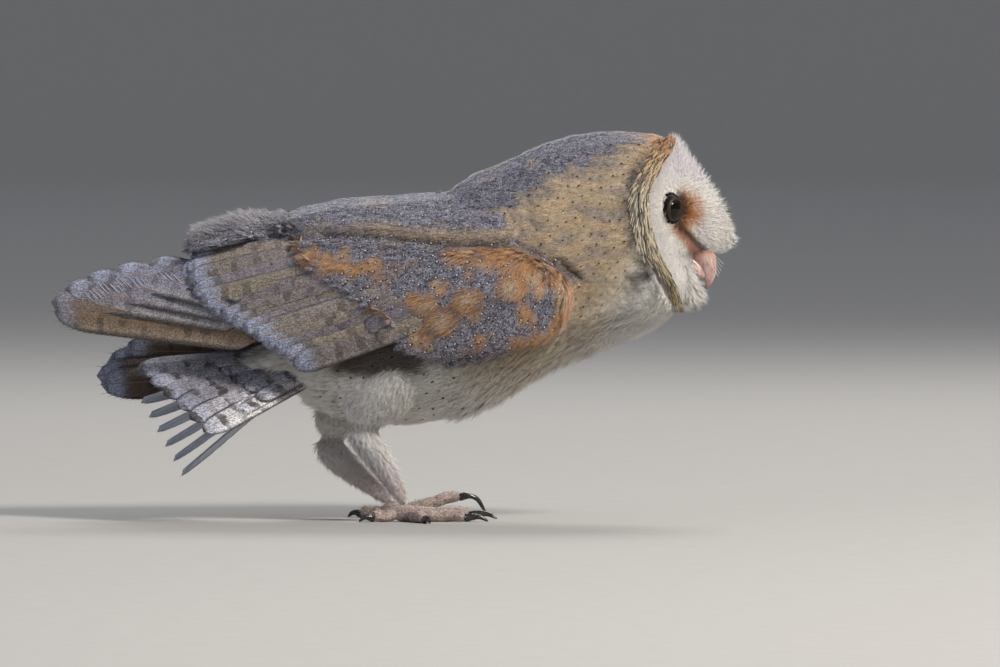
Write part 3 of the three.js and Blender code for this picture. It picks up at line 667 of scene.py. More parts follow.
# %% The tree that lays feathers
PATCH, CROWDING = 0.003, 3.2
LAY, given, result = new_tree(
    "Lay feathers",
    "GeometryNodeTree",
    [("Skin", "Geometry"), ("Feather", "Object"), ("Cover", "String"), ("Spacing", "Float"), ("Length", "Float"),
     ("Width", "Float"), ("Lift", "Float"), ("Ruffle", "Float"), ("Raise", "Float"), ("Mark", "Float"),
     ("Seed", "Int"), ("Material", "Material")],
    [("Feathers", "Geometry")],
)
density = sums(LAY, "DIVIDE", CROWDING, times(LAY, given["Spacing"], given["Spacing"]))
spread = {"Mesh": given["Skin"], "Distance Min": given["Spacing"], "Density Max": density, "Seed": given["Seed"]}
spread["Density Factor"] = named(LAY, given["Cover"])
points = add(LAY, "GeometryNodeDistributePointsOnFaces", spread, distribute_method="POISSON").outputs["Points"]
raised = vectors(LAY, "SCALE", named(LAY, "out", "FLOAT_VECTOR"), scale=given["Raise"])
points = add(LAY, "GeometryNodeSetPosition", {"Geometry": points, "Offset": raised}).outputs[0]
points = stored(LAY, points, "grain", between(LAY, 0.0, 1.0, given["Seed"]))
points = stored(LAY, points, "mark", given["Mark"])
axes = {"Primary Axis": named(LAY, "out", "FLOAT_VECTOR"), "Secondary Axis": named(LAY, "flow", "FLOAT_VECTOR")}
laid = add(LAY, "FunctionNodeAxesToRotation", axes, primary_axis="Z", secondary_axis="X").outputs[0]
less = times(LAY, given["Ruffle"], -1.0)
seed_two = sums(LAY, "ADD", given["Seed"], 31.0)
seed_three = sums(LAY, "ADD", given["Seed"], 57.0)
roll = between(LAY, less, given["Ruffle"], given["Seed"])
pitch = sums(LAY, "MULTIPLY_ADD", between(LAY, 0.0, 1.0, seed_two), given["Ruffle"], given["Lift"])
pitch = times(LAY, pitch, -1.0)
yaw = between(LAY, less, given["Ruffle"], seed_three)
turn = add(LAY, "ShaderNodeCombineXYZ", {0: roll, 1: pitch, 2: yaw}).outputs[0]
turn = add(LAY, "FunctionNodeEulerToRotation", {0: turn}).outputs[0]
laid = add(LAY, "FunctionNodeRotateRotation", {0: laid, 1: turn}, rotation_space="LOCAL").outputs[0]
size = times(LAY, named(LAY, "size"), between(LAY, 0.82, 1.18, seed_two))
length = times(LAY, given["Length"], size)
width = times(LAY, given["Width"], size)
scale = add(LAY, "ShaderNodeCombineXYZ", {0: length, 1: width, 2: width}).outputs[0]
feather = add(LAY, "GeometryNodeObjectInfo", {"Object": given["Feather"]}).outputs["Geometry"]
coat = {"Points": points, "Instance": feather, "Rotation": laid, "Scale": scale}
coat = add(LAY, "GeometryNodeInstanceOnPoints", coat).outputs[0]
coat = add(LAY, "GeometryNodeRealizeInstances", {0: coat}).outputs[0]
within = vectors(LAY, "SUBTRACT", named(LAY, "VaneUV", "FLOAT_VECTOR"), (0.5, 0.5, 0.0))
within = vectors(LAY, "SCALE", within, scale=PATCH)
place = vectors(LAY, "ADD", named(LAY, "patch", "FLOAT_VECTOR"), within)
coat = stored(LAY, coat, "OFBake", place, "FLOAT2", "CORNER")
coat = add(LAY, "GeometryNodeSetMaterial", {"Geometry": coat, "Material": given["Material"]}).outputs[0]
LAY.links.new(coat, result[0])


# %% [markdown]
# A tree's result becomes a plain mesh at once. The layers of one region are joined into one piece, and its
# shading is turned towards the skin's, because thousands of separate slivers would otherwise look like gravel.

# %% Run a tree, soften and join
def feathered(piece, tree, values):
    """Runs a tree on a piece. The modifier's inputs are set by identifier, before anything is worked out."""
    change = piece.modifiers.new("feathers", "NODES")
    change.node_group = tree
    names = {item.name: item.identifier for item in tree.interface.items_tree if item.in_out == "INPUT"}
    for name, value in values.items():
        change[names[name]] = value
    return applied(piece)


def softened(piece, share):
    """Turns each feather's shading towards the skin's, so that a coat reads as one soft surface."""
    own, out = rows_of(piece.data.vertex_normals), rows_of(piece.data.attributes["out"].data)
    out *= np.where((own * out).sum(axis=1, keepdims=True) < -0.05, -1, 1)
    turned = unit(blended(own, unit(out), share))
    piece.data.normals_split_custom_set_from_vertices(turned.tolist())


def joined_as(name, pieces):
    for piece in bpy.context.selected_objects:
        piece.select_set(False)
    for piece in pieces:
        piece.select_set(True)
    bpy.context.view_layer.objects.active = pieces[0]
    if len(pieces) > 1:
        bpy.ops.object.join()
    pieces[0].name = pieces[0].data.name = name
    pieces[0].select_set(False)
    return pieces[0]


# %% [markdown]
# ### Setting long feathers one by one
# Each long feather is a single point that carries its own direction, facing, length, width and bow. The tree
# stands a quill on each point and bows it to follow the folded wing. On the export's flat map every quill has
# its own strip, so its bars stay sharp.

# %% The long feather
def quill_half(u):
    end = np.clip((u - 0.8) / 0.2, 0, 1)
    return 0.5 * (0.06 + 0.94 * rise(u, 0.0, 0.16)) * math.sqrt(max(1 - end * end, 0))


def quill(shell):
    """A cambered, closed leaf with a raised shaft and frayed edges."""
    rows, columns = 30, 6
    camber, body, shaft = 0.06, 0.022, 0.03
    root, tip = shell.verts.new((0, 0, 0)), shell.verts.new((1, 0, 0))
    skins = {1: [], -1: []}
    for row in range(1, rows):
        u = row / rows
        half = quill_half(u)
        edge = {c: shell.verts.new((u, (c - 1) * half, 0)) for c in (0, 2)}
        for face in (1, -1):
            line = [edge[0]]
            for column in range(1, columns):
                v = column / columns * 2 - 1
                height = camber * (1 - v * v) + face * body * (1 - abs(v))
                height += shaft * face if abs(v) < 0.01 else 0
                line.append(shell.verts.new((u, v * half, height)))
            skins[face].append(line + [edge[2]])
    for face, lines in skins.items():
        for near, far in zip(lines[:-1], lines[1:]):
            for a, b, c, d in zip(near[:-1], far[:-1], far[1:], near[1:]):
                shell.faces.new((a, b, c, d))
        for a, b in zip(lines[0][:-1], lines[0][1:]):
            shell.faces.new((root, a, b))
        for a, b in zip(lines[-1][:-1], lines[-1][1:]):
            shell.faces.new((a, tip, b))
    chance = np.random.default_rng(8)
    for u in np.linspace(0.3, 0.97, 26):
        for side in (-1, 1):
            half = quill_half(u)
            start = (u - 0.02, side * (half - 0.03), 0)
            end = (u + 0.035 * chance.uniform(0.7, 1.3), side * (half + 0.035), chance.uniform(-0.02, 0.03))
            sliver(shell, start, end, 0.008)


SHAPES["quill"] = template("quill", quill)

# %% The tree that sets it
SET, given, result = new_tree(
    "Set long feathers",
    "GeometryNodeTree",
    [("Roots", "Geometry"), ("Feather", "Object"), ("Strips", "Float"), ("Material", "Material")],
    [("Feathers", "Geometry")],
)
axes = {"Primary Axis": named(SET, "ahead", "FLOAT_VECTOR"), "Secondary Axis": named(SET, "out", "FLOAT_VECTOR")}
turn = add(SET, "FunctionNodeAxesToRotation", axes, primary_axis="X", secondary_axis="Z").outputs[0]
scale = {0: named(SET, "length"), 1: named(SET, "width"), 2: named(SET, "width")}
scale = add(SET, "ShaderNodeCombineXYZ", scale).outputs[0]
shape = add(SET, "GeometryNodeObjectInfo", {"Object": given["Feather"]}).outputs["Geometry"]
quills = {"Points": given["Roots"], "Instance": shape, "Rotation": turn, "Scale": scale}
quills = add(SET, "GeometryNodeInstanceOnPoints", quills).outputs[0]
quills = add(SET, "GeometryNodeRealizeInstances", {0: quills}).outputs[0]
chart = add(SET, "ShaderNodeSeparateXYZ", {0: named(SET, "VaneUV", "FLOAT_VECTOR")}).outputs
u, v = chart["X"], chart["Y"]
arch = times(SET, times(SET, u, sums(SET, "SUBTRACT", 1.0, u)), 4.0)
bowed = vectors(SET, "SCALE", named(SET, "out", "FLOAT_VECTOR"), scale=times(SET, arch, named(SET, "bow")))
quills = add(SET, "GeometryNodeSetPosition", {"Geometry": quills, "Offset": bowed}).outputs[0]
strip = times(SET, sums(SET, "MULTIPLY_ADD", v, 0.86, 0.07), given["Strips"])
strip = {0: sums(SET, "MULTIPLY_ADD", u, 0.96, 0.02), 1: sums(SET, "ADD", strip, named(SET, "strip"))}
strip = add(SET, "ShaderNodeCombineXYZ", strip).outputs[0]
quills = stored(SET, quills, "OFBake", strip, "FLOAT2", "CORNER")
quills = add(SET, "GeometryNodeSetMaterial", {"Geometry": quills, "Material": given["Material"]}).outputs[0]
SET.links.new(quills, result[0])


# %% From a list of feathers to one piece
def set_feathers(name, records, material, shape="quill"):
    """One piece from a list of feathers, each a dictionary in millimetres."""
    count = len(records)
    mesh = bpy.data.meshes.new(name)
    mesh.from_pydata([tuple(r["root"] * MM) for r in records], [], [])
    chance = np.random.default_rng(count)
    ahead = np.array([unit(r["tip"] - r["root"]) for r in records])
    out = np.array([r["out"] for r in records])
    out = unit(out - ahead * (out * ahead).sum(axis=1, keepdims=True))
    put(mesh, "ahead", ahead, "FLOAT_VECTOR")
    put(mesh, "out", out, "FLOAT_VECTOR")
    put(mesh, "length", [np.linalg.norm(r["tip"] - r["root"]) * MM for r in records])
    put(mesh, "coat_colour", [[*r["tint"], 1] for r in records], "FLOAT_COLOR")
    for key in ("width", "bow"):
        put(mesh, key, [r[key] * MM for r in records])
    for key, usual in (("bars", 1.0), ("frost", 0.7)):
        put(mesh, key, [r.get(key, usual) for r in records])
    put(mesh, "grain", chance.uniform(0, 1, count))
    put(mesh, "strip", np.arange(count) / count)
    values = {"Feather": SHAPES[shape], "Strips": 1 / count, "Material": material}
    return feathered(link(name, mesh), SET, values)


# %% [markdown]
# ## Materials of the plumage
# The markings come from three things: the colour that a feather took from the skin, fine flecks made by noise,
# and the feather's own map, which knows where root, tip and shaft are. The map also gives painted shade, darker
# towards each root. They are worked out in one shader group, used by the skin and by all soft feathers.

# %% Shader group for soft plumage
def mixed(tree, factor, first, second, kind="MIX"):
    joins = {0: factor, 6: first, 7: second}
    return add(tree, "ShaderNodeMix", joins, data_type="RGBA", blend_type=kind).outputs[2]


def ramp(tree, value, low, high, to_low=0.0, to_high=1.0):
    joins = {0: value, 1: low, 2: high, 3: to_low, 4: to_high}
    return add(tree, "ShaderNodeMapRange", joins, interpolation_type="SMOOTHSTEP").outputs[0]


def tone(code):
    return (*paint(code), 1.0)


def grain_of(tree, scale, detail=2.0, stretch=(1.0, 1.0, 1.0), **more):
    """Noise on the piece's own coordinates, with about `scale` specks to the metre."""
    here = add(tree, "ShaderNodeTexCoord").outputs["Object"]
    if stretch != (1.0, 1.0, 1.0):
        here = vectors(tree, "MULTIPLY", here, stretch)
    return add(tree, "ShaderNodeTexNoise", {"Vector": here, "Scale": scale, "Detail": detail, **more}).outputs[0]


def shaded(tree, colour, shade):
    """The colour made darker or lighter by one number."""
    shade = add(tree, "ShaderNodeCombineColor", {0: shade, 1: shade, 2: shade}).outputs[0]
    return mixed(tree, 1.0, colour, shade, "MULTIPLY")


MARKS, given, result = new_tree(
    "Soft plumage",
    "ShaderNodeTree",
    [("Coat", "Color"), ("Speckle", "Float"), ("Grain", "Float"), ("Mark", "Float"), ("Vane", "Vector")],
    [("Color", "Color"), ("Roughness", "Float")],
)
fine = ramp(MARKS, grain_of(MARKS, 1150.0, 1.0), 0.4, 0.6)
broad = ramp(MARKS, grain_of(MARKS, 380.0, 1.0), 0.4, 0.6)
pepper = sums(MARKS, "MULTIPLY_ADD", fine, 0.7, times(MARKS, broad, 0.3))
flecked = mixed(MARKS, pepper, tone("23212a"), tone("c2c0cf"))
flecked = mixed(MARKS, 0.66, given["Coat"], flecked)
colour_out = mixed(MARKS, given["Speckle"], given["Coat"], flecked)
chart = add(MARKS, "ShaderNodeSeparateXYZ", {0: given["Vane"]}).outputs
# Painted shade: each feather is darker towards its root, where the feathers lying over it would shade it.
painted_root_shadow = ramp(MARKS, chart["X"], 0.0, 0.6, 0.8, 1.0)
own_shade = ramp(MARKS, given["Grain"], 0.0, 1.0, 0.93, 1.06)
colour_out = shaded(MARKS, colour_out, times(MARKS, painted_root_shadow, own_shade))
off_shaft = sums(MARKS, "ABSOLUTE", sums(MARKS, "SUBTRACT", chart["Y"], 0.5))
pearl = times(MARKS, ramp(MARKS, chart["X"], 0.5, 0.6), ramp(MARKS, chart["X"], 0.98, 0.9))
pearl = times(MARKS, pearl, ramp(MARKS, off_shaft, 0.36, 0.28))
is_drop = ramp(MARKS, given["Mark"], 0.7, 0.8)
colour_out = mixed(MARKS, ramp(MARKS, given["Mark"], 0.2, 0.3), colour_out, tone("17120f"))
colour_out = mixed(MARKS, times(MARKS, pearl, is_drop), colour_out, tone("dcd9d8"))
MARKS.links.new(colour_out, result["Color"])
MARKS.links.new(ramp(MARKS, given["Grain"], 0.0, 1.0, 0.72, 0.88), result["Roughness"])


def feather_finish(name, marks, sheen, specular, reads, fixed=()):
    """A material whose marks group is fed with attributes that the piece carries, or with fixed values."""
    material = bpy.data.materials.new(name)
    material.use_nodes = True
    tree = material.node_tree
    shader = tree.nodes["Principled BSDF"]
    shader.inputs["Sheen Weight"].default_value = sheen
    shader.inputs["Specular IOR Level"].default_value = specular
    group = add(tree, "ShaderNodeGroup", node_tree=marks)
    for socket, (key, kind) in reads.items():
        read = add(tree, "ShaderNodeAttribute", attribute_name=key).outputs[kind]
        tree.links.new(read, group.inputs[socket])
    for socket, value in dict(fixed).items():
        group.inputs[socket].default_value = value
    if "Vane" not in dict(fixed):
        tree.links.new(add(tree, "ShaderNodeUVMap", uv_map="VaneUV").outputs[0], group.inputs["Vane"])
    for key, socket in (("Color", "Base Color"), ("Roughness", "Roughness")):
        tree.links.new(group.outputs[key], shader.inputs[socket])
    return material, group, shader


def plumage(name, reads, fixed=()):
    reads = {"Coat": ("coat_colour", "Color"), "Speckle": ("speckle", "Fac"), **reads}
    material, _, shader = feather_finish(name, MARKS, 0.25, 0.3, reads, fixed)
    shader.inputs["Sheen Roughness"].default_value = 0.45
    return material


SOFT = plumage("soft feathers", {"Grain": ("grain", "Fac"), "Mark": ("mark", "Fac")})
# The skin is read as the root of a feather, so it gets that painted shade, as under the coat.
BARE_DOWN = plumage("down on the skin", {}, {"Grain": 0.4, "Vane": (0.3, 0.5, 0.0)})

# %% [markdown]
# Flight and tail feathers are firmer. Their bars are counted back from the tip along each feather, so the bars
# of neighbouring feathers line up as they do on a folded wing. Between the bars run fine wavy lines.

# %% Shader group for barred feathers
BARS, given, result = new_tree(
    "Barred feathers",
    "ShaderNodeTree",
    [("Ground", "Color"), ("Bars", "Float"), ("Frost", "Float"), ("Length", "Float"), ("Grain", "Float"),
     ("Vane", "Vector")],
    [("Color", "Color"), ("Roughness", "Float"), ("Height", "Float")],
)
BAR_STEP = 0.0125
chart = add(BARS, "ShaderNodeSeparateXYZ", {0: given["Vane"]}).outputs
u, v = chart["X"], chart["Y"]
off_shaft = sums(BARS, "ABSOLUTE", sums(BARS, "SUBTRACT", v, 0.5))
from_tip = times(BARS, sums(BARS, "SUBTRACT", 1.0, u), given["Length"])
wavy = sums(BARS, "MULTIPLY_ADD", grain_of(BARS, 160.0), 0.55, sums(BARS, "DIVIDE", from_tip, BAR_STEP))
beat = sums(BARS, "ABSOLUTE", sums(BARS, "SUBTRACT", sums(BARS, "FRACT", wavy), 0.5))
blots = ramp(BARS, grain_of(BARS, 95.0), 0.44, 0.56, 0.2, 1.0)
bar = times(BARS, times(BARS, ramp(BARS, beat, 0.24, 0.14), blots), given["Bars"])
bar = times(BARS, bar, ramp(BARS, off_shaft, 0.5, 0.1, 0.45, 1.0))
LEVEL = (1.0, 1.0, 1.7)
worm = ramp(BARS, grain_of(BARS, 620.0, stretch=LEVEL, Distortion=0.6), 0.42, 0.58)
fine_worm = ramp(BARS, grain_of(BARS, 1150.0, 1.0, stretch=LEVEL), 0.46, 0.6)
pepper = ramp(BARS, given["Bars"], 0.0, 0.3, 0.25, 1.0)
# Painted shadow: each feather's edges are darkened where the next feather overlaps it.
edge_shadow_share = ramp(BARS, given["Bars"], 0.02, 0.3, 0.0, 0.7)
# Each tone is laid over the last one: inner web, tip, wavy lines, bars, painted shadow along the edges, and shaft.
OVERLAYS = [
    (times(BARS, ramp(BARS, v, 0.56, 0.9), 0.25), "efe6da"),
    (times(BARS, ramp(BARS, from_tip, 0.019, 0.005), given["Frost"]), "aeb7d3"),
    (times(BARS, times(BARS, worm, 0.4), pepper), "564c48"),
    (times(BARS, times(BARS, fine_worm, 0.6), pepper), "2b2728"),
    (times(BARS, bar, 0.85), "231e1e"),
    (times(BARS, ramp(BARS, off_shaft, 0.41, 0.49), edge_shadow_share), "28232a"),
    (times(BARS, ramp(BARS, off_shaft, 0.022, 0.012), 0.7), "7a6450"),
]
colour_out = given["Ground"]
for share, code in OVERLAYS:
    colour_out = mixed(BARS, share, colour_out, tone(code))
BARS.links.new(shaded(BARS, colour_out, ramp(BARS, given["Grain"], 0.0, 1.0, 0.86, 1.1)), result["Color"])
BARS.links.new(ramp(BARS, worm, 0.0, 1.0, 0.55, 0.72), result["Roughness"])
barbs = sums(BARS, "MULTIPLY_ADD", off_shaft, 26.0, times(BARS, from_tip, 1400.0))
BARS.links.new(sums(BARS, "SINE", barbs), result["Height"])

reads = {key: (key.lower(), "Fac") for key in ("Bars", "Frost", "Length", "Grain")}
reads["Ground"] = ("coat_colour", "Color")
BARRED, group, shader = feather_finish("barred feathers", BARS, 0.12, 0.35, reads)
bump = {"Height": group.outputs["Height"], "Strength": 0.12, "Distance": 0.0003}
bump = add(BARRED.node_tree, "ShaderNodeBump", bump).outputs[0]
BARRED.node_tree.links.new(bump, shader.inputs["Normal"])

# %% [markdown]
# ## The coat
# Each region has its own layers. Spacing, length, width and lift are listed in millimetres and radians. Drops
# and dots are tiny vanes set a little above the coat, so they sit on its surface as they do in life.

# %% Covers and sizes
size = np.ones(len(outer))
size -= HEAD * rise(x, 128, 150) * 0.25
size -= TARSUS * rise(z, 34, 12) * 0.4
put(skin.data, "size", blur(size, 2))
LAYERS = {
    # region: (cover, [(shape, spacing, length, width, lift, ruffle, raise, mark, where)])
    "crown": (HEAD | NAPE, [
        ("velvet", 1.36, 7.5, 3.6, 0.07, 0.12, 0, 0, None), ("drop", 5.4, 1.2, 0.8, 0.05, 0.4, 1.0, 0.5, "dots"),
        ("plume", 2.1, 10, 4.5, 0.3, 0.25, 0.3, 0, "throat"),
    ]),
    "back": (MANTLE | (TAIL_ROOT & (z > 100)), [
        ("velvet", 1.5, 9.0, 4.0, 0.07, 0.12, 0, 0, None), ("drop", 7, 1.4, 0.75, 0.05, 0.4, 1.1, 1, None),
        ("plush", 1.3, 8, 2.0, 0.45, 0.35, 0, 0, "fringe"),
    ]),
    "shoulder": (WING, [
        ("velvet", 1.45, 9.0, 3.8, 0.08, 0.13, 0, 0, None), ("drop", 3.7, 1.9, 0.95, 0.05, 0.4, 1.2, 1, "drops"),
        ("drop", 4.0, 1.1, 0.75, 0.05, 0.4, 1.2, 0.5, "drops"), ("plume", 1.9, 11, 5.5, 0.2, 0.22, 0.6, 0, "tips"),
        ("plush", 1.3, 8, 2.0, 0.5, 0.35, 0, 0, "fringe"),
    ]),
    "front": (TRUNK & ~NAPE | TAIL_ROOT & (z <= 100), [
        ("down", 1.75, 11, 4.6, 0.1, 0.15, 0, 0, None), ("drop", 6.5, 1.7, 1.3, 0.05, 0.4, 1.2, 0.5, "belly dots"),
        ("plush", 1.5, 10, 2.6, 0.3, 0.28, 0.2, 0, "loose"),
    ]),
}
where = {
    "dots": (HEAD | NAPE) * rise(above_pale, -16, 2) * (1 - 0.6 * grey_share),
    "drops": WING * (1 - 0.85 * orange_share),
    "tips": WING * np.maximum.reduce([rise(from_tip, 8, 4) for from_tip in from_tips]),
    "ridge": FACE * rise(side_out, 17, 11) * rise(z, 150, 156) * rise(off_gaze, 1.5, 2.0),
    "belly dots": TRUNK & (z < 118) & (x < 62),
    "fringe": REAR_BACK * fringe_top,
    "throat": HEAD * rise(above(x, z, [(80, 96), (130, 116), (160, 122)]), 5, 0) * rise(x, 85, 100),
    "loose": TRUNK * rise(x, 30, 45) * rise(z, 116, 108) + (TRUNK | TAIL_ROOT) * rise(x, -22, -38),
    "beard": FACE * rise(side_out, 16, 9) * rise(z, 146, 140) * rise(x, 150, 156),
}


def laid_over(surface, shape, spacing, length, width, lift, ruffle, lifted, mark, seed):
    """One layer of soft feathers wherever the surface's attribute `cover` is one."""
    return feathered(link("layer", surface.data.copy()), LAY, {
        "Feather": SHAPES[shape], "Cover": "cover", "Spacing": spacing * MM, "Length": length * MM,
        "Width": width * MM, "Lift": lift, "Ruffle": ruffle, "Raise": lifted * MM, "Mark": float(mark),
        "Seed": seed, "Material": SOFT,
    })


# %% Lay the coat
COATS = {}


def grow(name, region, layers, seed, share=0.85):
    made = []
    for number, (shape, *measures, place) in enumerate(layers):
        put(skin.data, "cover", region * (1.0 if place is None else where[place]))
        layer = laid_over(skin, shape, *measures, seed + 10 * number)
        if len(layer.data.polygons):
            made.append(layer)
    piece = joined_as(name, made)
    softened(piece, share)
    COATS[name] = piece
    print(name, triangles(piece), "triangles")


for seed, (region, (mask, layers)) in enumerate(LAYERS.items()):
    for name, side in SIDES.items():
        grow(f"{region}_{name}", mask & HALF[name], layers, 100 * seed + (7 if side > 0 else 3))
grow("legs", THIGH | TARSUS, [
    ("down", 1.5, 7.5, 3.0, 0.12, 0.18, 0, 0, None), ("plush", 1.3, 7.0, 1.7, 0.36, 0.3, 0, 0, None),
], 500, 0.7)
before_rim = FACE * face_cover * rise(behind_rim, 2.0, 0.5)
for name in SIDES:
    grow(f"face_{name}", before_rim * HALF[name], [
        ("plush", 0.8, 4.4, 1.5, 0.12, 0.16, 0, 0, None), ("plush", 0.9, 6.6, 0.9, 0.6, 0.3, 0, 0, "ridge"),
        ("plush", 0.9, 8.5, 1.6, 0.32, 0.25, 0, 0, "beard"),
    ], 600, 0.92)
print("coat so far:", sum(triangles(piece) for piece in COATS.values()))

# %% [markdown]
# ## The folded wings
# A folded wing is a stack of long feathers, so each one is placed from its tip: the tips follow the stepped
# outline of the wing, and the roots disappear under the coverts. A ray shot at the frame's wing says how far
# out each feather lies. Like roof tiles, each feather is rolled a little, so that its lower edge lies on the
# next one's upper edge.

# %% Ways to place a long feather
RAY_SHARES = (0.08, 0.3, 0.5, 0.7, 0.85, 0.94)


def along_line(outline, share):
    """The point at a share of the way along a line of (x, z) points."""
    points = np.array(outline, float)
    steps = np.r_[0, np.cumsum(np.linalg.norm(np.diff(points, axis=0), axis=1))]
    return np.array([np.interp(share * steps[-1], steps, points[:, i]) for i in (0, 1)])


def on_face(tree, side, point):
    """Where a ray from the bird's side meets the frame at a point of the side view."""
    start = Vector((point[0], MIDDLE + side * 130, point[1]))
    hit, normal, _, _ = tree.ray_cast(start, Vector((0, -side, 0)))
    return (None, None) if hit is None else (np.array(hit), np.array(normal))


def placed(trees, side, root, tip, width, depth, roll, tint, **more):
    """A feather from root to tip in the side view, `depth` millimetres inside the frame's face at each end.
    `trees` lists surfaces, and how far under each one the feather's own layer lies, the best one first."""
    hits = []
    for share in RAY_SHARES:
        for tree, under in trees:
            hit, normal = on_face(tree, side, root + (tip - root) * share)
            if hit is not None:
                hits.append((share, hit[1] - side * under, normal))
                break
    shares, heights = np.array([h[0] for h in hits]), np.array([h[1] for h in hits])
    slope, base = np.polyfit(shares, heights, 1) if len(hits) > 1 else (0.0, heights[0])
    bow = 0.0
    if len(hits) > 3:
        bow = side * float(np.interp(0.5, shares, heights) - (base + 0.5 * slope))
    out = unit(np.mean([h[2] for h in hits], axis=0))
    start = np.array([root[0], base, root[1]]) - out * depth[0]
    end = np.array([tip[0], base + slope, tip[1]]) - out * depth[1]
    ahead = unit(end - start)
    upper = np.cross(ahead, out) * (1 if np.cross(ahead, out)[2] > 0 else -1)
    out = unit(out + upper * math.tan(roll))
    return {"root": start, "tip": end, "out": out, "width": width, "bow": bow, "tint": tint, **more}


# %% [markdown]
# The left hand hangs lower than the right one, so its feathers are the right hand's, turned down about the
# wrist. Flight feathers run from pale grey at the top of the stack to tan at its lower edge.

# %% The feathers of one wing
SECONDARY_TIPS = [
    (-52, 83), (-59.4, 91.6), (-67, 95.4), (-72.6, 98.2), (-78.6, 103.6), (-86, 107.4), (-92.5, 111.6),
    (-99.8, 114.6), (-105.8, 120.4), (-110.4, 127.4), (-113.6, 135.6), (-113.4, 143.2), (-109, 148.6),
]
PRIMARY_TIPS = [
    (-116, 139), (-135, 141), (-154, 137.5), (-170, 133), (-181, 127.5), (-188.5, 120.5), (-187, 115),
]
HAND = {"wrist": np.array([92, 126]), "droop": math.radians(9.5), "fold": 0.93}
SECONDARIES, COVERTS = 14, 11
PALE_GROUND = paint("8f8fa3")
TAN_GROUND = paint("947b62")


def left_hand(point):
    """The left hand is the right one's outline, turned down about the wrist."""
    c, s = math.cos(HAND["droop"]) * HAND["fold"], math.sin(HAND["droop"]) * HAND["fold"]
    dx, dz = np.array(point) - HAND["wrist"]
    return HAND["wrist"] + np.array([dx * c - dz * s, dx * s + dz * c])


def slanted(degrees):
    return np.array([math.cos(math.radians(degrees)), math.sin(math.radians(degrees))])


def folded_wing(name, side):
    """The feathers of one wing: seven long ones of the hand, then the arm's, then the row of coverts."""
    arm = [(tree_of(f"wing_{name}_secondaries", f"wing_{name}_coverts", f"wing_{name}_tertials"), 0)]
    hand = [(tree_of(f"wing_{name}_primaries"), 0), (arm[0][0], 3.5)]
    arm.append((tree_of("mantle"), 1.5))
    records = []
    for i, tip in enumerate(PRIMARY_TIPS):
        share = i / (len(PRIMARY_TIPS) - 1)
        root, tip = np.array([-35.0, 120 - 22 * share]), np.array(tip, float)
        if side > 0:
            root, tip = left_hand(root), left_hand(tip)
        root = root + (tip - root) * (0.42 - 0.2 * share)
        inset = 0.5 + 0.42 * i
        ground = blended(PALE_GROUND, TAN_GROUND, rise(share, 0.55, 0.95))
        # The far hand is seen from its inner side: its dark brown is painted shade from the body, and its extra
        # pale frost is painted light on the tips over their own pale colour.
        if side > 0:
            ground = paint("5f4a36")
        marks = {"bars": 0.55, "frost": 0.7 if side < 0 else 1.3}
        records.append(placed(hand, side, root, tip, 19, (inset + 1.0, inset), 0.05, ground, **marks))
    for i in range(SECONDARIES):
        share = (i + 0.5) / SECONDARIES
        tip = along_line(SECONDARY_TIPS, share)
        reach = 62 + 22 * math.sin(math.pi * min(share * 1.3, 1))
        root = tip + reach * slanted(20 - 8 * share)
        ground = blended(paint("918b97"), paint("a09384"), 0.5 + 0.5 * math.sin(i * 2.3))
        records.append(placed(arm, side, root, tip, 14, (2.6, 0.9), -0.12, ground, bars=0.6, frost=1.0))
    for i in range(1, COVERTS):
        share = (i + 0.4) / COVERTS
        edge = along_line(COVERT_EDGE[::-1], share)
        way = slanted(24 - 10 * share)
        ground = blended(paint("827e8b"), paint("a69880"), 0.5 + 0.5 * math.sin(i * 1.7 + 1))
        root, tip = edge + 16 * way, edge - (10 + 8 * min(i / 4, 1)) * way
        records.append(placed(arm, side, root, tip, 10, (1.8, 0.3), -0.1, ground, bars=0.4, frost=0.1))
    return records


FLIGHT = {}
for name, side in SIDES.items():
    FLIGHT[name] = set_feathers(f"flight_{name}", folded_wing(name, side), BARRED)
    softened(FLIGHT[name], 0.15)
    print("flight", name, triangles(FLIGHT[name]), "triangles")

# %% [markdown]
# The upper edge of the hand is a comb: the pale free ends of the barbs curl over it as fine slanting lines. They
# are thin leaves, laid on the frame's outermost feathers in the same way.

# %% The comb on the hand's edge
HAND_TOP = [(-121, 137), (-135, 137.5), (-153, 133.5), (-170, 127.5)]


def comb_records(name, side):
    tree = tree_of(f"wing_{name}_primaries")
    chance = np.random.default_rng(5)
    records = []
    for share in np.linspace(0.0, 1.0, 26):
        root = along_line(HAND_TOP, share) + chance.normal(0, 0.5, 2)
        tip = root + np.array([6.5, -6.0]) * chance.uniform(0.8, 1.25)
        if side > 0:
            root, tip = left_hand(root), left_hand(tip)
        ends = [on_face(tree, side, point) for point in (root, tip)]
        if any(end[0] is None for end in ends):
            continue
        root, tip = (hit + np.array([0, side * 0.35, 0]) for hit, _ in ends)
        leaf = {"root": root, "tip": tip, "out": ends[0][1], "width": 0.5, "bow": 0.2}
        records.append({**leaf, "tint": paint("b4b2c4")})
    return records


leaves = [record for name, side in SIDES.items() for record in comb_records(name, side)]
combs = set_feathers("combs", leaves, SOFT, shape="stiff")
print("combs", triangles(combs), "triangles")

# %% [markdown]
# ## The tail
# The tail is two half fans. The near half lies open like a hand of cards; the far half hangs steeply, with its
# feathers seen edge on, like slats.

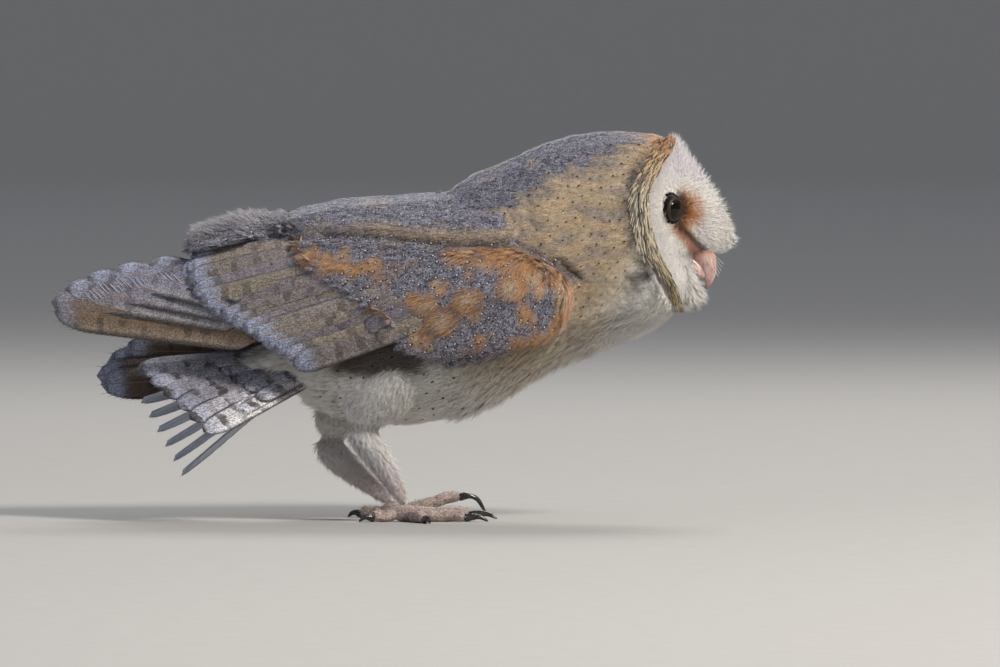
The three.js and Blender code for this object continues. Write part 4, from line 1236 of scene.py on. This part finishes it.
# %% Two half fans
FANS = {
    "right": {
        "roots": [(-58, -3, 90), (-42, -10, 86)], "tips": [(-141, -6, 83), (-102, -64, 54)],
        "faces": [(0.15, -0.5, 0.9), (0.1, -0.6, 0.8)], "widths": [23, 16], "step": 0.95,
    },
    "left": {
        "roots": [(-58, 3, 90), (-48, 8, 82)], "tips": [(-139, 8, 64), (-117, 26, 23)],
        "faces": [(-0.5, 0.25, 0.9), (-0.72, 0.15, 0.76)], "widths": [25, 22], "step": 0.0,
    },
}


def fan_feathers(fan, count=6, reach=1.0, raised=0.0, narrow=1.0):
    records = []
    for i in range(count):
        share = i / (count - 1)
        root, tip, out = (
            blended(np.array(fan[key][0], float), np.array(fan[key][1], float), share)
            for key in ("roots", "tips", "faces")
        )
        lowered = unit(out) * (raised - i * fan["step"]) + np.array([0, MIDDLE, 0])
        tip = root + (tip - root) * reach
        width = blended(*fan["widths"], share) * narrow
        is_open = fan["step"] > 0
        ground = blended(paint("a5a4b4"), paint("e6e4ea"), rise(share, 0.6, 1.0)) if is_open else paint("d3daea")
        records.append({
            "root": root + lowered, "tip": tip + lowered, "out": unit(out), "width": width, "tint": ground,
            "bow": 0.0, "bars": 1.0 if is_open else 0.0, "frost": 0.5,
        })
    return records


# Two rows of shorter feathers lie over the roots of the open half.
tail_records = fan_feathers(FANS["right"]) + fan_feathers(FANS["left"])
tail_records += fan_feathers(FANS["right"], 6, 0.74, 0.7, 0.62) + fan_feathers(FANS["right"], 5, 0.52, 1.5, 0.7)
tail = set_feathers("tail", tail_records, BARRED)
softened(tail, 0.15)
print("tail", triangles(tail), "triangles")

# %% [markdown]
# ## The ruff
# The rim of the face is bound by several rows of narrow, stiff, curved feathers that lie along it like the
# strands of a rope. Their colour runs from orange at the brow through dark and cream to olive at the chin.

# %% Rows of stiff feathers along the rim
skin_tree = BVHTree.FromObject(skin, bpy.context.evaluated_depsgraph_get())
RIM_LINE = np.array([(place, half, level) for level, half, place in RIM], float)
RIM_STEPS = np.r_[0, np.cumsum(np.linalg.norm(np.diff(RIM_LINE, axis=0), axis=1))]


def on_rim(share, side, back):
    """A point on the skin at a share of the way up the rim, `back` millimetres behind it."""
    at = np.array([np.interp(share * RIM_STEPS[-1], RIM_STEPS, RIM_LINE[:, i]) for i in range(3)])
    inward = 0.25 * back
    wanted = np.array([at[0] - back, MIDDLE + side * max(at[1] - inward, 0), at[2]])
    hit, normal, _, _ = skin_tree.find_nearest(Vector(wanted * MM))
    return np.array(hit) / MM, np.array(normal)


ROWS = [
    (-1.4, 1.2), (-0.3, 1.8), (0.8, 2.2), (1.9, 2.3), (3.0, 2.2), (4.1, 2.0), (5.4, 1.8), (6.8, 1.6), (8.2, 1.3),
]
RUFF_TINTS = {
    0.0: "9c8a52", 0.16: "a8925a", 0.34: "d3c3a4", 0.6: "dbcdb4", 0.78: "cfae80", 0.9: "b9773a", 1.0: "b9773a",
}
stops, shades = list(RUFF_TINTS), np.array([paint(code) for code in RUFF_TINTS.values()])
STRAND_STEP, HALF_STRAND = 0.0075, 0.028


def ruff_records():
    chance = np.random.default_rng(12)
    records = []
    for name, side in SIDES.items():
        for row, (back, raised) in enumerate(ROWS):
            ends = (0.03, 0.985) if back < 5 else (0.16 + 0.02 * back, 0.9)
            for share in np.arange(ends[0] + 0.003 * row, ends[1], STRAND_STEP):
                share += chance.normal(0, 0.002)
                splay = 0.5 if back < 5 else 2.0
                root, out = on_rim(min(share + HALF_STRAND, 1), side, back + chance.normal(0, 0.45))
                tip, _ = on_rim(max(share - HALF_STRAND, 0), side, back + chance.normal(splay, 0.6))
                tint = np.array([np.interp(share, stops, shades[:, i]) for i in range(3)])
                share_dark = 0.8 if chance.uniform() < (0.25 if back < 3 else 0.45) else chance.uniform(0, 0.3)
                tint = blended(tint, paint("3a2c22" if back < 5 else "46403e"), share_dark)
                records.append({
                    "root": root + out * (raised - 0.9), "tip": tip + out * raised, "out": out,
                    "width": chance.uniform(0.45, 1.05), "bow": chance.uniform(0.3, 0.7), "tint": tint,
                })
        # A few hairs stand out beside the bill.
        for number in range(5):
            root = np.array([171.5, MIDDLE + side * (3 + 0.5 * number), 149 - 1.2 * number])
            tip = root + [11 - 0.8 * number, side * (1 + number), -9 - 0.5 * number]
            hair = {"root": root, "tip": tip, "out": np.array([0.5, 0, 0.8]), "width": 0.45, "bow": 0.8}
            records.append({**hair, "tint": TINTS["white"]})
    return records


RUFF = set_feathers("ruff", ruff_records(), SOFT, shape="stiff")
softened(RUFF, 0.4)
print("ruff", triangles(RUFF), "triangles")

# %% [markdown]
# ## Eyes and bill
# Glossy black eyes take their life from one clean highlight, so the ball is smooth and its coat is clear.

# %% Smooth shapes for bare parts
TUBE_SIDES, TUBE_STEPS = 24, 6


def smooth_line(points, radii, steps):
    """Points and radii along a rounded curve through the given ones."""
    data = np.c_[np.array(points, float), np.array(radii, float)]
    data = np.vstack([2 * data[0] - data[1], data, 2 * data[-1] - data[-2]])
    out = []
    for i in range(1, len(data) - 2):
        a, b, c, d = data[i - 1 : i + 3]
        for t in np.arange(steps) / steps:
            square, cube = 2 * a - 5 * b + 4 * c - d, 3 * b - a - 3 * c + d
            out.append(0.5 * (2 * b + (c - a) * t + square * t**2 + cube * t**3))
    out.append(data[-2])
    return np.array(out)[:, :3], np.array(out)[:, 3]


def tube(name, points, radii, flat):
    """A closed, smooth, curved cone in the bird's middle plane, narrowed from side to side by `flat`."""
    centres, sizes = smooth_line([(px, py + MIDDLE, pz) for px, py, pz in points], radii, TUBE_STEPS)
    shell = bmesh.new()
    sideways = np.array([0.0, 1.0, 0.0])
    rings = []
    for i, (centre, radius) in enumerate(zip(centres, sizes)):
        tangent = unit(centres[min(i + 1, len(centres) - 1)] - centres[max(i - 1, 0)])
        across = unit(sideways - tangent * (sideways @ tangent))
        up = np.cross(tangent, across)
        ring = []
        for k in range(TUBE_SIDES):
            angle = 2 * math.pi * k / TUBE_SIDES
            edge = across * math.cos(angle) * radius * flat + up * math.sin(angle) * radius
            ring.append(shell.verts.new((centre + edge) * MM))
        rings.append(ring)
    for near, far in zip(rings[:-1], rings[1:]):
        for k in range(TUBE_SIDES):
            after = (k + 1) % TUBE_SIDES
            shell.faces.new((near[k], near[after], far[after], far[k]))
    shell.faces.new(rings[0])
    shell.faces.new(rings[-1])
    bmesh.ops.recalc_face_normals(shell, faces=shell.faces)
    return link(name, smooth(mesh_from(shell, name)))


def coated(name, colour, roughness, coat=0.0):
    material = bpy.data.materials.new(name)
    material.use_nodes = True
    shader = material.node_tree.nodes["Principled BSDF"]
    shader.inputs["Base Color"].default_value = tone(colour)
    shader.inputs["Roughness"].default_value = roughness
    shader.inputs["Coat Weight"].default_value = coat
    shader.inputs["Coat Roughness"].default_value = 0.03
    return material, material.node_tree, shader


def two_tone(tree, shader, share, dark, light, grain, rough):
    """Base colour between two tones by `share`; the roughness follows the grain between two values."""
    tree.links.new(mixed(tree, share, tone(dark), tone(light)), shader.inputs["Base Color"])
    tree.links.new(ramp(tree, grain, 0.3, 0.7, *rough), shader.inputs["Roughness"])


wet, tree, shader = coated("wet eye", "0b0705", 0.12, coat=0.18)
shader.inputs["Specular IOR Level"].default_value = 0.2
rays = grain_of(tree, 900.0)
two_tone(tree, shader, ramp(tree, rays, 0.35, 0.7), "060403", "1c0f08", rays, (0.08, 0.14))

EYES = {}
for name in SIDES:
    ball = bmesh.new()
    bmesh.ops.create_uvsphere(ball, u_segments=48, v_segments=32, radius=EYE_RADIUS * MM)
    for vertex in ball.verts:
        vertex.co += Vector(EYE[name]) * MM
    EYES[name] = link(f"eyeball_{name}", smooth(mesh_from(ball, f"eye_{name}_ball")))
    EYES[name].data.materials.append(wet)

# %% Lids
# A lid is a soft ring that follows the ball round the open oval. Its section lists how far past the edge of
# the opening each corner lies, in radians, and how far out, in radii of the ball.
LID_SIDES = 48
LID_SECTION = [
    (0.0, 1.0), (0.02, 1.04), (0.08, 1.07), (0.15, 1.07), (0.26, 1.02), (0.28, 0.94), (0.15, 0.93), (0.05, 0.95),
]


def lid_ring(name):
    gaze = GAZE[name]
    level = unit(np.cross([0, 0, 1.0], gaze))
    upright = np.cross(gaze, level)
    shell = bmesh.new()
    rings = []
    for k in range(LID_SIDES):
        turn = 2 * math.pi * k / LID_SIDES
        way = level * math.cos(turn) * LID["across"] + upright * math.sin(turn) * LID["tall"]
        opening, way = np.linalg.norm(way), unit(way)
        ring = []
        for further, reach in LID_SECTION:
            angle = opening + further
            point = EYE[name] + EYE_RADIUS * reach * (gaze * math.cos(angle) + way * math.sin(angle))
            ring.append(shell.verts.new(point * MM))
        rings.append(ring)
    for near, far in zip(rings, rings[1:] + rings[:1]):
        for k in range(len(LID_SECTION)):
            after = (k + 1) % len(LID_SECTION)
            shell.faces.new((near[k], near[after], far[after], far[k]))
    bmesh.ops.recalc_face_normals(shell, faces=shell.faces)
    return link(f"lid_{name}", smooth(mesh_from(shell, f"lid_{name}")))


lid_skin, tree, shader = coated("lid skin", "2a1810", 0.5)
fine = grain_of(tree, 800.0)
two_tone(tree, shader, fine, "140b07", "35200f", fine, (0.4, 0.6))
LIDS = joined_as("lids", [lid_ring(name) for name in SIDES])
LIDS.data.materials.append(lid_skin)

# %% The bill
UPPER_BILL = (
    [(158, 0, 153), (166, 0, 150.5), (171.6, 0, 145), (174, 0, 138), (173.8, 0, 131.4), (172.4, 0, 126.8)],
    [5, 5.9, 5.7, 4.2, 2.3, 0.5],
)
LOWER_BILL = ([(156, 0, 146), (163, 0, 142), (168, 0, 137.6), (171.2, 0, 133.6)], [4.0, 4.0, 3.5, 2.2])
horn, tree, shader = coated("horn of the bill", "c9a29c", 0.32, coat=0.15)
layers = grain_of(tree, 420.0, 3.0, (1, 1, 0.35))
here = add(tree, "ShaderNodeTexCoord").outputs["Object"]
height = add(tree, "ShaderNodeSeparateXYZ", {0: here}).outputs["Z"]
body = mixed(tree, ramp(tree, layers, 0.3, 0.7), tone("b98f8b"), tone("dcc0b8"))
body = mixed(tree, times(tree, ramp(tree, height, 0.142, 0.150), 0.75), body, tone("a4582f"))
tree.links.new(mixed(tree, ramp(tree, height, 0.134, 0.127), body, tone("8d6a64")), shader.inputs["Base Color"])
tree.links.new(ramp(tree, layers, 0.3, 0.7, 0.26, 0.42), shader.inputs["Roughness"])
bill_upper = tube("horn_upper", *UPPER_BILL, flat=0.86)
bill_lower = tube("horn_lower", *LOWER_BILL, flat=0.9)
for piece in (bill_upper, bill_lower):
    piece.data.materials.append(horn)

# %% [markdown]
# ## Feet
# Toes are padded below and scaly above. They get a finer skin of their own, whose top end hides in the
# feathers of the leg. Claws are smooth, curved cones.

# %% Toes and claws
scales, tree, shader = coated("scaly toe skin", "9d8683", 0.6)
here = add(tree, "ShaderNodeTexCoord").outputs["Object"]
cells = {"Vector": vectors(tree, "MULTIPLY", here, (1, 1, 1.3)), "Scale": 620.0}
cells = add(tree, "ShaderNodeTexVoronoi", cells, feature="DISTANCE_TO_EDGE").outputs["Distance"]
grime = grain_of(tree, 240.0, 3.0)
body = mixed(tree, ramp(tree, grime, 0.35, 0.65), tone("97827f"), tone("c4b0a8"))
body = mixed(tree, times(tree, ramp(tree, cells, 0.1, 0.0), 0.6), body, tone("6a5452"))
tree.links.new(body, shader.inputs["Base Color"])
tree.links.new(ramp(tree, grime, 0.3, 0.7, 0.5, 0.7), shader.inputs["Roughness"])
bump = {"Height": ramp(tree, cells, 0.0, 0.25), "Strength": 0.6, "Distance": 0.0004}
tree.links.new(add(tree, "ShaderNodeBump", bump).outputs[0], shader.inputs["Normal"])

feet = remeshed("feet", TOES, TOE_VOXEL)
soft = feet.modifiers.new("soften", "SMOOTH")
soft.factor, soft.iterations = 0.5, 4
applied(feet)
smooth(feet.data)
feet.data.materials.append(scales)
print("feet", triangles(feet), "triangles")

# Sparse pale bristles grow on the upper side of the toes, pointing away from the ankle.
bare, facing = rows_of(feet.data.vertices, "co") / MM, unit(rows_of(feet.data.vertex_normals))
ankle = np.where((bare[:, 1] > MIDDLE)[:, None], [0.0, 23.0, 12.0], [8.0, -21.0, 12.0])
CARRIED = {
    "out": (facing, "FLOAT_VECTOR"), "flow": (unit(bare - ankle), "FLOAT_VECTOR"),
    "patch": (np.c_[0.5 + bare[:, :2] / 140, np.zeros(len(bare))], "FLOAT_VECTOR"),
    "coat_colour": (np.tile([*paint("cfc4be"), 1], (len(bare), 1)), "FLOAT_COLOR"),
    "size": (np.ones(len(bare)), "FLOAT"), "cover": (rise(facing[:, 2], -0.2, 0.3), "FLOAT"),
}
for key, (values, kind) in CARRIED.items():
    put(feet.data, key, values, kind)
bristles = laid_over(feet, "plush", 1.35, 3.0, 1.0, 0.45, 0.3, 0, 0, 900)
bristles.name = bristles.data.name = "toe_bristles"
for key in CARRIED:
    feet.data.attributes.remove(feet.data.attributes[key])
print("bristles", triangles(bristles), "triangles")

slate, tree, shader = coated("slate horn", "1b1a1d", 0.25, coat=0.3)
streaks = grain_of(tree, 700.0)
two_tone(tree, shader, ramp(tree, streaks, 0.35, 0.7), "121114", "3a363a", streaks, (0.18, 0.34))
CLAWS = [f"claw_{name}" for name in TOE_NAMES]
claws = link("claw_horns", joined(CLAWS))
claws.modifiers.new("rounder", "SUBSURF").levels = 2
applied(claws)
smooth(claws.data)
claws.data.materials.append(slate)

# %% [markdown]
# ## Dress the frame
# Each new piece rides on the model's one body and stands for the frame nodes that it hides.

# %% Pieces and the nodes they stand for
def wear(piece, slot, *nodes):
    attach(piece, "root")
    if nodes:
        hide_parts(*nodes)


skin.data.materials.clear()
skin.data.materials.append(BARE_DOWN)
for name in ("cover", "size", "patch", "flow", "out"):
    skin.data.attributes.remove(skin.data.attributes[name])
wear(skin, "plumage_white", *FLESH)
COAT_SLOTS = {"crown": "plumage_buff", "back": "plumage_grey", "shoulder": "plumage_grey"}
for name, piece in COATS.items():
    wear(piece, COAT_SLOTS.get(name.split("_")[0], "plumage_white"))
for name in SIDES:
    wear(FLIGHT[name], "plumage_barred", f"wing_{name}_secondaries", f"wing_{name}_primaries")
    wear(EYES[name], "eye_dark", f"eye_{name}")
wear(tail, "plumage_barred", "tail_right", "tail_left")
wear(RUFF, "plumage_buff")
wear(combs, "plumage_barred")
wear(LIDS, "toe_skin")
wear(bill_upper, "bill_horn", "bill_upper")
wear(bill_lower, "bill_horn", "bill_lower")
wear(feet, "toe_skin", *TOES)
wear(bristles, "plumage_white")
wear(claws, "claw_horn", *CLAWS)

# %% [markdown]
# ## Studio
# A pale floor that curves up far behind the bird leaves nothing to look at but the owl. One warm lamp stands
# high in front of it and to its right, a weak cool one fills the shadows from behind, and a third on the far
# side lights its edges. The pale surroundings fill the rest.

# %% Floor, lamps and camera
def bowl():
    """A round floor whose edge curves up into a wall, far behind the cameras of every view."""
    flat, bend, top, sides = 16.0, 6.0, 14.0, 64
    profile = [(0.0, 0.0), (flat, 0.0)]
    profile += [(flat + bend * math.sin(a), bend * (1 - math.cos(a))) for a in np.radians(range(10, 91, 10))]
    profile.append((flat + bend, top))
    ring = [(math.cos(2 * math.pi * k / sides), math.sin(2 * math.pi * k / sides)) for k in range(sides)]
    points = [(0, 0, 0)] + [(r * c, r * s, h) for r, h in profile[1:] for c, s in ring]
    faces = [(0, 1 + k, 1 + (k + 1) % sides) for k in range(sides)]
    for row in range(len(profile) - 2):
        near, far = 1 + row * sides, 1 + (row + 1) * sides
        faces += [(near + k, far + k, far + (k + 1) % sides, near + (k + 1) % sides) for k in range(sides)]
    mesh = bpy.data.meshes.new("floor")
    mesh.from_pydata(points, [], faces)
    floor = link("floor", smooth(mesh))
    material, tree, shader = coated("pale floor", "adaba8", 0.85)
    tones = mixed(tree, grain_of(tree, 60.0), tone("a9a7a4"), tone("b1afac"))
    tree.links.new(tones, shader.inputs["Base Color"])
    mesh.materials.append(material)
    floor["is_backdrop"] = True


def lamp(name, place, aim, size, power, colour):
    data = bpy.data.lights.new(name, "AREA")
    data.size, data.energy, data.color = size, power, colour
    light = bpy.data.objects.new(name, data)
    light.location = place
    light.rotation_euler = (Vector(aim) - Vector(place)).to_track_quat("-Z", "Y").to_euler()
    bpy.context.scene.collection.objects.link(light)


bowl()
CENTRE = (0.03, 0.0, 0.12)
lamp("key", (2.0, -1.9, 2.3), CENTRE, 0.8, 125, (1.0, 0.95, 0.86))
lamp("fill", (-2.2, -2.6, 1.2), CENTRE, 2.0, 14, (0.8, 0.88, 1.0))
lamp("rim", (0.6, 2.2, 2.4), CENTRE, 1.2, 45, (1.0, 0.97, 0.92))
bpy.context.scene.view_settings.view_transform = "Standard"
world = bpy.data.worlds.new("studio")
bpy.context.scene.world = world
world.use_nodes = True
background = world.node_tree.nodes["Background"].inputs
background["Color"].default_value, background["Strength"].default_value = (0.86, 0.9, 1.0, 1.0), 0.5

data = bpy.data.cameras.new("camera")
camera = bpy.data.objects.new("camera", data)
bpy.context.scene.collection.objects.link(camera)
bpy.context.scene.camera = camera
AIM = Vector((0.059, 0.0, 0.1026))
VIEW_WIDTH, DISTANCE, RAISED, SENSOR = 0.55, 6.0, math.radians(1.5), 36.0
data.sensor_width = SENSOR
data.lens = SENSOR * DISTANCE / VIEW_WIDTH
data.clip_start, data.clip_end = 0.1, 60.0
camera.location = AIM + DISTANCE * Vector((0, -math.cos(RAISED), math.sin(RAISED)))
camera.rotation_euler = (math.pi / 2 - RAISED, 0, 0)

# %% Boxes of the model and the frame
MODEL_BOX = [list(corner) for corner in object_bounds()]
for label, box in (("model", MODEL_BOX), ("CAD", CAD_BOX)):
    print(label, "box in mm", [[round(v / MM, 1) for v in corner] for corner in box])
